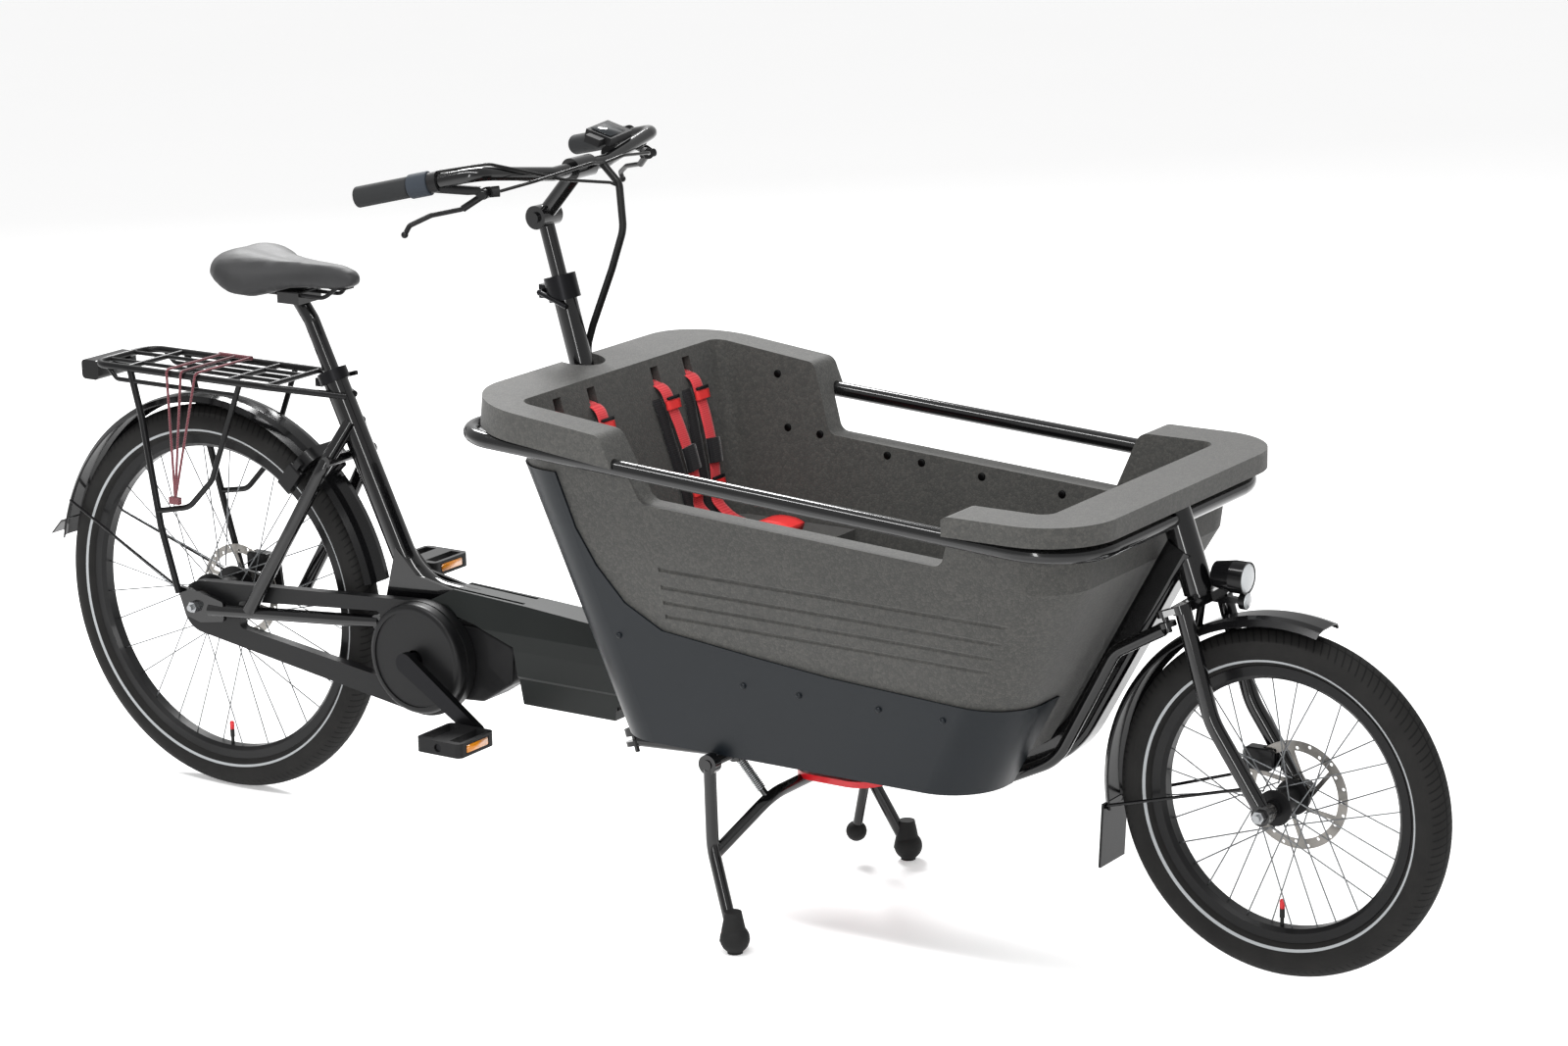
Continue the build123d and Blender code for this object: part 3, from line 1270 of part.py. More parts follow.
# ---------------------------------------------------------------- steering
column_low = 262.0
column_high = 932.0
collar_low = 924.0
collar_high = 962.0
post_low = 700.0
post_travel = 55.0
rear_eye_height = 246.0
rear_arm_low = 256.0
rear_arm_thickness = 12.0
link_pin_length = 32.0
rod_eye_thickness = 13.0
with BuildPart() as steering_column:
    add(column_bar(column_low, column_high, column_diameter))
    add(column_bar(post_low - post_travel, column_high + 10, post_diameter + 2 * bearing_gap), mode=Mode.SUBTRACT)
    with BuildSketch(column_plane(rear_arm_low)):
        Circle(24)
        with Locations((-steer_arm_back, -steer_arm_side)):
            Circle(13)
        make_hull()
    extrude(amount=rear_arm_thickness)
    with BuildSketch(column_plane(rear_arm_low + 4)):
        with Locations((-steer_arm_back, -steer_arm_side)):
            Circle(link_pin_diameter / 2)
    extrude(amount=-link_pin_length)
steering_column.part.label = "steering_column"
export_step(steering_column.part, "parts/steering_column.step")

with BuildPart() as column_clamp:
    add(column_bar(collar_low, collar_high, column_diameter + 14))
    add(column_bar(collar_low - 5, column_high, column_diameter), mode=Mode.SUBTRACT)
    add(column_bar(column_high - 5, collar_high + 5, post_diameter + 2 * bearing_gap + 0.1), mode=Mode.SUBTRACT)
    ear = on_column(943)
    with Locations((ear[0] - 30, 0, ear[2] - 8)):
        Box(18, 20, 22)
    add(bar([(ear[0] - 30, -22, ear[2] - 8), (ear[0] - 30, 14, ear[2] - 8)], 9.0))
    add(bar([(ear[0] - 30, -20, ear[2] - 8), (ear[0] + 30, -30, ear[2] - 24)], 8.0))
    add(column_bar(collar_low - 5, column_high, column_diameter), mode=Mode.SUBTRACT)
    add(column_bar(column_high - 5, collar_high + 5, post_diameter + 2 * bearing_gap + 0.1), mode=Mode.SUBTRACT)
column_clamp.part.label = "column_clamp"
export_step(column_clamp.part, "parts/column_clamp.step")

bar_clamp = (786.0, 0.0, bar_height)
stem_pivot = on_column(stem_height)
with BuildPart() as steering_post:
    add(bar([on_column(post_low), stem_pivot], post_diameter))
    add(axle_disc(stem_pivot, 19.0, -24, 24))
    add(axle_disc(stem_pivot, 9.0, -29, 29))
    add(bar([stem_pivot, bar_clamp], 27.0))
    add(axle_disc(bar_clamp, 18.0, -25, 25))
    add(axle_disc(bar_clamp, bar_diameter / 2, -40, 40), mode=Mode.SUBTRACT)
steering_post.part.label = "steering_post"
export_step(steering_post.part, "parts/steering_post.step")

bar_end = Vector(573, -bar_half_width, 1117)
bar_outer = Vector(763, -235, 1160)
bar_inner = Vector(bar_clamp[0], -70, bar_height)
grip_axis = (bar_outer - bar_end).normalized()


def grip_bar(low, high, diameter):
    """Round bar on the right grip's axis, its ends measured from the end of the handlebar."""
    return bar([tuple(bar_end + grip_axis * low), tuple(bar_end + grip_axis * high)], diameter)


with BuildPart() as handlebar:
    right_half = bar([tuple(bar_end), tuple(bar_outer), tuple(bar_inner), bar_clamp], bar_diameter, [34.0, 34.0])
    add(both_sides(right_half))
handlebar.part.label = "handlebar"
export_step(handlebar.part, "parts/handlebar.step")

right_grip_length = grip_length - shifter_length


def make_grip(length):
    """Right-hand rubber grip, closed at its end."""
    with BuildPart() as grip:
        add(grip_bar(-5, length, grip_diameter))
        fillet(grip.edges().filter_by(GeomType.CIRCLE), 3.5)
        add(grip_bar(0, 160, bar_diameter), mode=Mode.SUBTRACT)
    return grip.part


with BuildPart() as grips:
    add(make_grip(right_grip_length))
    add(mirror(make_grip(grip_length), about=Plane.XZ))
grips.part.label = "grips"
export_step(grips.part, "parts/grips.step")

shifter_gap = 1.0
shifter_low = right_grip_length + shifter_gap
with BuildPart() as twist_shifter:
    add(grip_bar(shifter_low, shifter_low + shifter_length, grip_diameter + 5))
    edges_at_ends = twist_shifter.edges().filter_by(GeomType.CIRCLE)
    fillet(edges_at_ends, 2.5)
    add(grip_bar(0, 190, bar_diameter + 2 * bearing_gap), mode=Mode.SUBTRACT)
twist_shifter.part.label = "twist_shifter"
export_step(twist_shifter.part, "parts/twist_shifter.step")

lever_pivot = Vector(764, -214, 1126)
lever_clamp_low = shifter_low + shifter_length + 1.0
lever_clamp_length = 14.0
lever_side = Vector(-0.236, 0.972, 0.0).normalized()
pivot_half = 8.0
lever_route = [
    (764, -214, 1126), (735, -233, 1104), (691, -255, 1094), (664, -275, 1079), (661, -284, 1066)]
display_centre = (757.0, 118.0, 1172.0)


def lever_body(side_low):
    """Right-hand lever body: clamp ring, reservoir and the fork that holds the lever's pivot."""
    with BuildPart() as body:
        add(grip_bar(side_low, side_low + lever_clamp_length, bar_diameter + 10))
        ring = bar_end + grip_axis * (side_low + lever_clamp_length / 2)
        add(bar([tuple(ring + Vector(0, 0, -9)), (768, -212, 1130)], 15.0))
        add(bar([(778, -196, 1129), (752, -222, 1128)], 17.0))
        add(bar([tuple(lever_pivot + lever_side * -13), tuple(lever_pivot + lever_side * 13)], 13.0))
        add(bar([tuple(lever_pivot + lever_side * -6.5), tuple(lever_pivot + lever_side * 6.5)], 26.0),
            mode=Mode.SUBTRACT)
        for turn in (0.0, 9.0, 18.0):
            reach = (Vector(*lever_route[1]) - lever_pivot).rotate(Axis((0, 0, 0), tuple(lever_side)), turn)
            add(bar([tuple(lever_pivot), tuple(lever_pivot + reach)], 13.0), mode=Mode.SUBTRACT)
        add(bar([tuple(lever_pivot + lever_side * -8), tuple(lever_pivot + lever_side * 8)], 6.0))
        add(grip_bar(0, 190, bar_diameter), mode=Mode.SUBTRACT)
    return body.part


with BuildPart() as controls:
    add(lever_body(lever_clamp_low))
    add(mirror(lever_body(lever_clamp_low), about=Plane.XZ))
    with Locations(Location(display_centre, (0, 18, 8))):
        Box(46, 72, 13)
        with Locations((0, -44, -2)):
            Box(26, 22, 12)
    add(bar([(764, 112, 1144), (760, 114, 1168)], 9.0))
    add(bar([(770, 100, 1144), (758, 124, 1145)], 26.0))
    add(handlebar.part, mode=Mode.SUBTRACT)
controls.part.label = "controls"
export_step(controls.part, "parts/controls.step")


def make_lever():
    """Right-hand brake lever: a tapered blade from its pivot boss to a rounded tip."""
    with BuildPart() as lever:
        add(bar([tuple(lever_pivot + lever_side * -6), tuple(lever_pivot + lever_side * 6)], 15.0))
        add(bar(lever_route, 8.0, [20.0, 20.0, 8.0]))
        add(bar([lever_route[0], lever_route[1]], 11.0))
        with Locations(lever_route[-1]):
            Sphere(5.5)
        add(bar([tuple(lever_pivot + lever_side * -20), tuple(lever_pivot + lever_side * 20)], 6.0 + 2 * bearing_gap),
            mode=Mode.SUBTRACT)
    return lever.part


with BuildPart() as right_lever:
    add(make_lever())
right_lever.part.label = "right_lever"
export_step(right_lever.part, "parts/right_lever.step")

with BuildPart() as left_lever:
    add(mirror(make_lever(), about=Plane.XZ))
left_lever.part.label = "left_lever"
export_step(left_lever.part, "parts/left_lever.step")

# Sleeve with the brake, gear and display cables, from the handlebar down beside the column.
cable_diameter = 5.0
sleeve_diameter = 12.0
sleeve_route = [
    (812, 24, 1142), (842, 26, 1112), (846, 28, 1040), (822, 28, 975), (781, 28, 880), (768, 27, 840),
    (784, 27, 782)]
sleeve_bends = [18.0, 60.0, 90.0, 60.0, 60.0]
cable_routes = [
    ([(779, -195, 1129), (812, -150, 1140), (826, -20, 1150), (816, 22, 1143)], [30.0, 20.0]),
    ([(779, 195, 1129), (812, 150, 1140), (826, 60, 1150), (816, 26, 1143)], [30.0, 20.0]),
    ([(702, -249, 1161), (768, -208, 1172), (822, -90, 1134), (838, 8, 1116), (841, 26, 1108)],
     [20.0, 40.0, 10.0]),
]
with BuildPart() as control_cables:
    add(bar(sleeve_route, sleeve_diameter, sleeve_bends))
    for route, bends in cable_routes:
        add(bar(route, cable_diameter, bends))
    add(controls.part, mode=Mode.SUBTRACT)
    add(handlebar.part, mode=Mode.SUBTRACT)
    add(steering_post.part, mode=Mode.SUBTRACT)
control_cables.part.label = "control_cables"
export_step(control_cables.part, "parts/control_cables.step")
print("sleeve bends", sleeve_bends, "cable bends", [bends for route, bends in cable_routes])

# Steering rod from the column's arm to the fork's arm, on the bicycle's right side.
front_eye_height = 571.0
rear_eye = column_plane(rear_eye_height).from_local_coords((-steer_arm_back, -steer_arm_side, 0))
front_eye = head_plane(front_eye_height).from_local_coords((-steer_arm_back, -steer_arm_side, 4))
rod_route = [
    tuple(Vector(*rear_eye) + Vector(8, 0, 3)), (1568, -steer_arm_side, 279), (1682, -steer_arm_side, 334),
    (1778, -steer_arm_side, 514), tuple(Vector(*front_eye) + Vector(-4, 0, -7))]
rod_bends = [120.0, 90.0, 45.0]
with BuildPart() as steering_rod:
    add(bar(rod_route, rod_diameter, rod_bends))
    with BuildSketch(column_plane(rear_eye_height).offset(-rod_eye_thickness / 2 + 1)):
        with Locations((-steer_arm_back, -steer_arm_side)):
            Circle(15)
    extrude(amount=rod_eye_thickness - 5)
    with BuildSketch(head_plane(front_eye_height)):
        with Locations((-steer_arm_back, -steer_arm_side)):
            Circle(front_eye_radius)
    extrude(amount=8)
    with BuildSketch(column_plane(rear_eye_height - 30)):
        with Locations((-steer_arm_back, -steer_arm_side)):
            Circle(link_pin_diameter / 2 + bearing_gap)
    extrude(amount=60, mode=Mode.SUBTRACT)
    with BuildSketch(head_plane(front_eye_height - 30)):
        with Locations((-steer_arm_back, -steer_arm_side)):
            Circle(front_eye_bore)
    extrude(amount=60, mode=Mode.SUBTRACT)
    # room for the arms above both eyes
    with BuildSketch(column_plane(rear_arm_low - 1)):
        with Locations((-steer_arm_back, -steer_arm_side)):
            Circle(24)
    extrude(amount=30, mode=Mode.SUBTRACT)
    with BuildSketch(head_plane(lug_low - 1)):
        with Locations((-steer_arm_back, -steer_arm_side)):
            Circle(24)
    extrude(amount=30, mode=Mode.SUBTRACT)
steering_rod.part.label = "steering_rod"
export_step(steering_rod.part, "parts/steering_rod.step")

# ---------------------------------------------------------------- stand
stand_pivot = (stand_pivot_x, 0.0, stand_pivot_z)
foot_radius = 23.0
foot_height = 66.0
brace_route = [(1163, -219, 138), (1215, -135, 220), (1215, 135, 220), (1163, 219, 138)]
brace_bend = 60.0
step_tip = (1150.0, 203.0, 50.0)
with BuildPart() as kickstand:
    leg = bar(
        [(stand_pivot_x, stand_leg_half, stand_pivot_z), (1161, stand_leg_half, 150),
         (stand_foot_x - 9, stand_foot_half - 4, 40)], stand_tube_diameter, [80.0])
    leg += axle_disc(stand_pivot, 16.0, stand_leg_half - 9, stand_leg_half + 7)
    add(both_sides(leg))
    add(bar(brace_route, stand_tube_diameter, [brace_bend, brace_bend]))
    add(bar([(1180, 192, 165), step_tip], stand_tube_diameter - 4))
    # gussets and the return spring, between the brace and a ring on the axle
    add(axle_disc(stand_pivot, 14.0, -158, -142))
    add(bar([(stand_pivot_x, -150, stand_pivot_z), (1212, -140, 214)], 11.0))
    add(axle_disc(stand_pivot, stand_axle_diameter / 2 + bearing_gap, -260, 260), mode=Mode.SUBTRACT)
kickstand.part.label = "kickstand"
export_step(kickstand.part, "parts/kickstand.step")

with BuildPart() as stand_feet:
    with Locations((stand_foot_x, stand_foot_half, foot_radius)):
        Sphere(foot_radius)
    with Locations((stand_foot_x - 2, stand_foot_half, foot_radius + 20)):
        Cone(foot_radius - 1, 13, 46)
    with BuildSketch(Plane.XY):
        with Locations((stand_foot_x, stand_foot_half)):
            Circle(12)
    extrude(amount=12)
    mirror(about=Plane.XZ)
    with Locations(step_tip):
        Sphere(17)
    add(kickstand.part, mode=Mode.SUBTRACT)
stand_feet.part.label = "stand_feet"
export_step(stand_feet.part, "parts/stand_feet.step")

step_centre_x = 1272.0
step_z = 226.0
with BuildPart() as stand_pedal:
    with BuildSketch(Plane.XY.offset(step_z)):
        with Locations((step_centre_x, 0)):
            RectangleRounded(160, 130, 50)
            RectangleRounded(118, 88, 30, mode=Mode.SUBTRACT)
        with Locations((step_centre_x - 28, 0), (step_centre_x + 12, 0)):
            Rectangle(14, 100)
    extrude(amount=10)
    add(bar(brace_route, stand_tube_diameter, [brace_bend, brace_bend]), mode=Mode.SUBTRACT)
stand_pedal.part.label = "stand_pedal"
export_step(stand_pedal.part, "parts/stand_pedal.step")
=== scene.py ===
# %% [markdown]
# # A front-load cargo bicycle
# The whole bicycle comes in as separate machined and moulded parts, each one at its real size and place,
# in metres: +X points forward, +Y to the rider's left, +Z up. Here every part gets its surface, and the
# soft saddle and harness are made again as soft things, because a plain solid can't show seams, weave or
# a crowned cushion. The elastic cords keep their shape and get a braided finish.

# %% Load the parts
import math
import bmesh
import bpy
from mathutils import Euler, Matrix, Vector


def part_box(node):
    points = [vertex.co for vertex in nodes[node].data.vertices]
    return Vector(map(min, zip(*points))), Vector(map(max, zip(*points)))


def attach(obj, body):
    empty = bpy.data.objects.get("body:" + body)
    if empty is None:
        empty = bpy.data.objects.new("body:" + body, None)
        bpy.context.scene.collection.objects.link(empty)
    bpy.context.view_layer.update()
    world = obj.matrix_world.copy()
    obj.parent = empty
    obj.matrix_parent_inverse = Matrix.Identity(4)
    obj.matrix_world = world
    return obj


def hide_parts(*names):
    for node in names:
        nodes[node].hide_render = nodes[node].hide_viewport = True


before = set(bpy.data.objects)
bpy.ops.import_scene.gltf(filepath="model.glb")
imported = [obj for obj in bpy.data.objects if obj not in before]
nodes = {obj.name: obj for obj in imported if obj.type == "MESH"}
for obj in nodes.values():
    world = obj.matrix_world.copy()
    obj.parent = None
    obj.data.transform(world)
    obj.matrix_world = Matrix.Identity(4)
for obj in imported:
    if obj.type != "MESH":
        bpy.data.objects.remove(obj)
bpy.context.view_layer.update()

# %% [markdown]
# ## Camera
# A long lens, about 93 mm on a full frame, looks down a little at the right side and front of the bicycle.
# A long lens keeps the two wheels near their true proportions. The three angles are heading, downward
# tilt and a slight roll, so the camera's axes are worked out from them and set directly.

# %% Place the camera
heading = math.radians(33.8044)
tilt = math.radians(14.5156)
roll = math.radians(-1.1123)
forward = Vector((-math.sin(heading) * math.cos(tilt), math.cos(heading) * math.cos(tilt), -math.sin(tilt)))
level = Vector((math.cos(heading), math.sin(heading), 0))
upright = level.cross(forward)
camera_right = level * math.cos(roll) + upright * math.sin(roll)
camera_up = upright * math.cos(roll) - level * math.sin(roll)
lens = bpy.data.cameras.new("studio_lens")
lens.lens = 92.57
lens.sensor_width = 36
lens.clip_end = 200
camera = bpy.data.objects.new("studio_camera", lens)
bpy.context.collection.objects.link(camera)
turn = Matrix((camera_right, camera_up, -forward)).transposed().to_4x4()
camera.matrix_world = Matrix.Translation((4.5074, -5.0050, 2.1707)) @ turn
bpy.context.scene.camera = camera
print("camera looks along", tuple(round(v, 3) for v in forward))

# %% [markdown]
# ## Small tools
# Two tools are used everywhere. One turns a colour as a painter would name it, an sRGB hex code, into the
# linear numbers a shader wants. The other adds one node to a material, with its settings and its links.

# %% Colour and node tools
def chip(code):
    """A colour chip, an sRGB hex code, as linear red, green, blue and alpha."""
    parts = [int(code[i:i + 2], 16) / 255 for i in (1, 3, 5)]
    return tuple(p / 12.92 if p <= 0.04045 else ((p + 0.055) / 1.055) ** 2.4 for p in parts) + (1.0,)


def add_node(tree, kind, settings=None, links=None):
    """A new node. A setting is one of the node's own attributes, or else the value of an input."""
    made = tree.nodes.new(kind)
    for key, value in (settings or {}).items():
        if isinstance(key, str) and hasattr(made, key):
            setattr(made, key, value)
        else:
            made.inputs[key].default_value = value
    for key, socket in (links or {}).items():
        tree.links.new(socket, made.inputs[key])
    return made


def start_finish(name, settings):
    """A material with its shader set, and the place on the part, in metres, to drive its patterns."""
    finish = bpy.data.materials.new(name)
    finish.use_nodes = True
    shader = finish.node_tree.nodes["Principled BSDF"]
    for key, value in settings.items():
        shader.inputs[key].default_value = value
    place = add_node(finish.node_tree, "ShaderNodeTexCoord").outputs["Object"]
    return finish, finish.node_tree, shader, place


def dress(finish, *names):
    """Gives whole parts one finish, in place of what they came with."""
    for name in names:
        part = nodes[name]
        part.data.materials.clear()
        part.data.materials.append(finish)


print("black paint is", chip("#0e0e0f"))

# %% [markdown]
# ## Studio
# A white sweep with one large soft lamp behind and to the left, which throws the shadows forward and to
# the right, a long strip that draws the bright lines along the tubes, and a weak fill from the front.

# %% Floor and lights
floor_reach = 40
floor_corners = [(-floor_reach, -floor_reach, 0), (floor_reach, -floor_reach, 0),
                 (floor_reach, floor_reach, 0), (-floor_reach, floor_reach, 0)]
floor_mesh = bpy.data.meshes.new("studio_floor")
floor_mesh.from_pydata(floor_corners, [], [(0, 1, 2, 3)])
floor = bpy.data.objects.new("studio_floor", floor_mesh)
bpy.context.collection.objects.link(floor)
floor_paint, tree, shader, place = start_finish("white_studio_sweep", {
    "Roughness": 0.75, "Specular IOR Level": 0.2, "Emission Color": (1, 1, 1, 1), "Emission Strength": 0.3})
cloud = add_node(tree, "ShaderNodeTexNoise", {"Scale": 0.6, "Detail": 2.0}, {"Vector": place})
pale = add_node(tree, "ShaderNodeMix", {"data_type": "RGBA", 6: chip("#f8f8f8"), 7: chip("#fcfcfc")},
                {0: cloud.outputs["Fac"]})
tree.links.new(pale.outputs[2], shader.inputs["Base Color"])
floor_mesh.materials.append(floor_paint)


def softbox(name, place_at, aim_at, width, height, watts):
    """A rectangular soft lamp aimed at a point."""
    lamp = bpy.data.lights.new(name, "AREA")
    lamp.shape = "RECTANGLE"
    lamp.size = width
    lamp.size_y = height
    lamp.energy = watts
    holder = bpy.data.objects.new(name, lamp)
    bpy.context.collection.objects.link(holder)
    holder.location = place_at
    holder.rotation_euler = (Vector(aim_at) - Vector(place_at)).to_track_quat("-Z", "Y").to_euler()


softbox("key_softbox", (-1.4, 2.2, 3.4), (1.0, 0.0, 0.3), 1.5, 1.1, 210)
softbox("top_strip", (1.2, -1.3, 3.2), (1.1, 0.0, 0.6), 3.8, 0.22, 80)
softbox("front_fill", (2.9, -3.6, 1.5), (1.1, 0.0, 0.6), 0.35, 2.4, 40)
world = bpy.data.worlds.new("studio_air")
world.use_nodes = True
world.node_tree.nodes["Background"].inputs["Color"].default_value = (1, 1, 1, 1)
world.node_tree.nodes["Background"].inputs["Strength"].default_value = 0.66
bpy.context.scene.world = world
bpy.context.scene.view_settings.view_transform = "Standard"

# %% [markdown]
# ## Gloss black paint
# The frame, fork and posts are steel and aluminium tubes, powder coated and then clear coated. Powder
# melts into a smooth film with a faint ripple, called orange peel, about 2 mm from crest to crest. The
# clear coat gives the sharp bright lines, and the powder below it a soft one, so the shader has both.

# %% Sprayed and powder-coated metal
def sprayed_paint(name, colour, worn, roughness, ripple_mm, coat):
    """Paint over metal: a rippled film, with faint dust and handling marks in its gloss."""
    finish, tree, shader, place = start_finish(name, {
        "IOR": 1.5, "Coat Weight": coat, "Coat Roughness": 0.05, "Coat IOR": 1.5, "Specular IOR Level": 0.18})
    marks = add_node(tree, "ShaderNodeTexNoise", {"Scale": 14.0, "Detail": 5.0, "Roughness": 0.6},
                     {"Vector": place})
    tone = add_node(tree, "ShaderNodeMix", {"data_type": "RGBA", 6: chip(colour), 7: chip(worn)},
                    {0: marks.outputs["Fac"]})
    gloss = add_node(tree, "ShaderNodeMapRange", {
        "From Min": 0.3, "From Max": 0.7, "To Min": roughness * 0.8, "To Max": roughness * 1.35},
                     {"Value": marks.outputs["Fac"]})
    ripple = add_node(tree, "ShaderNodeTexNoise", {"Scale": 1000 / ripple_mm, "Detail": 1.0},
                      {"Vector": place})
    film = add_node(tree, "ShaderNodeBump", {"Strength": 0.35, "Distance": 0.00006},
                    {"Height": ripple.outputs["Fac"]})
    tree.links.new(tone.outputs[2], shader.inputs["Base Color"])
    tree.links.new(gloss.outputs["Result"], shader.inputs["Roughness"])
    tree.links.new(film.outputs["Normal"], shader.inputs["Normal"])
    return finish


frame_coat = sprayed_paint("powder_coated_gloss_black", "#060607", "#0b0b0c", 0.16, 2.2, 0.7)
rack_coat = sprayed_paint("powder_coated_satin_black", "#0a0a0b", "#121213", 0.34, 1.2, 0.1)
motor_coat = sprayed_paint("cast_aluminium_painted_black", "#0c0c0d", "#141415", 0.45, 0.8, 0.05)
red_coat = sprayed_paint("powder_coated_red", "#c4141f", "#d8242c", 0.3, 1.6, 0.6)
dress(frame_coat, "main_frame", "box_rail", "rear_triangle", "fork", "steering_column", "steering_rod",
      "kickstand", "steering_post", "seatpost", "handlebar")
dress(rack_coat, "rack", "ring_lock", "rear_caliper", "front_caliper", "rear_rim", "front_rim",
      "right_lever", "left_lever", "saddle_rails")
dress(motor_coat, "motor_unit", "rear_hub", "front_hub")
dress(red_coat, "stand_pedal")
print("paints:", [m.name for m in (frame_coat, rack_coat, motor_coat, red_coat)])

# %% [markdown]
# ## Anodised aluminium
# Clamps and cranks are machined, bead blasted and anodised black: a satin metal whose fine blasted grain,
# a tenth of a millimetre, is drawn at 0.4 mm so that it shows.

# %% Anodised clamps and cranks
def anodised(name, colour, roughness):
    """Blasted and dyed aluminium."""
    finish, tree, shader, place = start_finish(name, {"Metallic": 0.85, "Base Color": chip(colour)})
    grit = add_node(tree, "ShaderNodeTexNoise", {"Scale": 2500.0, "Detail": 2.0}, {"Vector": place})
    spread = add_node(tree, "ShaderNodeMapRange", {"To Min": roughness * 0.75, "To Max": roughness * 1.3},
                      {"Value": grit.outputs["Fac"]})
    pits = add_node(tree, "ShaderNodeBump", {"Strength": 0.3, "Distance": 0.00003},
                    {"Height": grit.outputs["Fac"]})
    tree.links.new(spread.outputs["Result"], shader.inputs["Roughness"])
    tree.links.new(pits.outputs["Normal"], shader.inputs["Normal"])
    return finish


black_anodised = anodised("black_anodised_aluminium", "#1c1c1e", 0.36)
dress(black_anodised, "seat_clamp", "column_clamp", "crank_arms")
print("finish:", black_anodised.name)

# %% [markdown]
# ## Bare steel
# Axles, bearings, chain and spokes are drawn or ground steel, so their fine scratches run one way. Noise
# stretched along a direction gives that grain.

# %% Drawn and ground steel
def drawn_steel(name, colour, roughness, along):
    """Bright steel with scratches along one axis. along is how much each axis is squeezed."""
    finish, tree, shader, place = start_finish(name, {"Metallic": 1.0})
    squeezed = add_node(tree, "ShaderNodeMapping", {"Scale": along}, {"Vector": place})
    scratch = add_node(tree, "ShaderNodeTexNoise", {"Scale": 900.0, "Detail": 4.0},
                       {"Vector": squeezed.outputs["Vector"]})
    tone = add_node(tree, "ShaderNodeMapRange", {
        "From Min": 0.25, "From Max": 0.75, "To Min": roughness * 0.7, "To Max": roughness * 1.4},
                    {"Value": scratch.outputs["Fac"]})
    shade = add_node(tree, "ShaderNodeMix", {
        "data_type": "RGBA", "blend_type": "MULTIPLY", 0: 0.3, 6: chip(colour)},
                     {7: scratch.outputs["Color"]})
    groove = add_node(tree, "ShaderNodeBump", {"Strength": 0.25, "Distance": 0.00003},
                      {"Height": scratch.outputs["Fac"]})
    tree.links.new(shade.outputs[2], shader.inputs["Base Color"])
    tree.links.new(tone.outputs["Result"], shader.inputs["Roughness"])
    tree.links.new(groove.outputs["Normal"], shader.inputs["Normal"])
    return finish


spoke_wire = drawn_steel("stainless_spoke_wire", "#77797b", 0.3, (1.0, 1.0, 1.0))
axle_steel = drawn_steel("zinc_plated_axle_steel", "#a9abad", 0.34, (1.0, 0.05, 1.0))
chain_steel = drawn_steel("oiled_chain_steel", "#4a4846", 0.38, (0.2, 1.0, 1.0))
dress(spoke_wire, "rear_spokes", "front_spokes")
dress(axle_steel, "rear_axle_bar", "front_axle_bar", "steering_bearings")
dress(chain_steel, "chain", "chainring", "rear_sprocket")
print("steels:", [m.name for m in (spoke_wire, axle_steel, chain_steel)])

# %% [markdown]
# ## Brake discs
# A brake disc is ground as it spins, so its scratches are circles round the axle. The distance from the
# axle drives a noise that hardly changes round the turn.

# %% Ground brake discs
def ground_disc(name, axle):
    """Steel with circular grinding marks round an axle that runs along Y."""
    finish, tree, shader, place = start_finish(name, {"Metallic": 1.0, "Anisotropic": 0.4})
    from_axle = add_node(tree, "ShaderNodeVectorMath", {"operation": "SUBTRACT", 1: axle}, {0: place})
    flat = add_node(tree, "ShaderNodeVectorMath", {"operation": "MULTIPLY", 1: (1, 0, 1)},
                    {0: from_axle.outputs["Vector"]})
    reach = add_node(tree, "ShaderNodeVectorMath", {"operation": "LENGTH"}, {0: flat.outputs["Vector"]})
    rings = add_node(tree, "ShaderNodeTexNoise", {"noise_dimensions": "1D", "Scale": 1400.0, "Detail": 3.0},
                     {"W": reach.outputs["Value"]})
    shade = add_node(tree, "ShaderNodeMix", {"data_type": "RGBA", 6: chip("#5e5b58"), 7: chip("#a5a29d")},
                     {0: rings.outputs["Fac"]})
    polish = add_node(tree, "ShaderNodeMapRange", {"To Min": 0.2, "To Max": 0.42},
                      {"Value": rings.outputs["Fac"]})
    cut = add_node(tree, "ShaderNodeBump", {"Strength": 0.3, "Distance": 0.00004},
                   {"Height": rings.outputs["Fac"]})
    tree.links.new(shade.outputs[2], shader.inputs["Base Color"])
    tree.links.new(polish.outputs["Result"], shader.inputs["Roughness"])
    tree.links.new(cut.outputs["Normal"], shader.inputs["Normal"])
    return finish


rear_axle = (0.0, 0.0, 0.335)
front_axle = (2.017, 0.0, 0.303)
dress(ground_disc("ground_steel_rear_disc", rear_axle), "rear_brake_disc")
dress(ground_disc("ground_steel_front_disc", front_axle), "front_brake_disc")
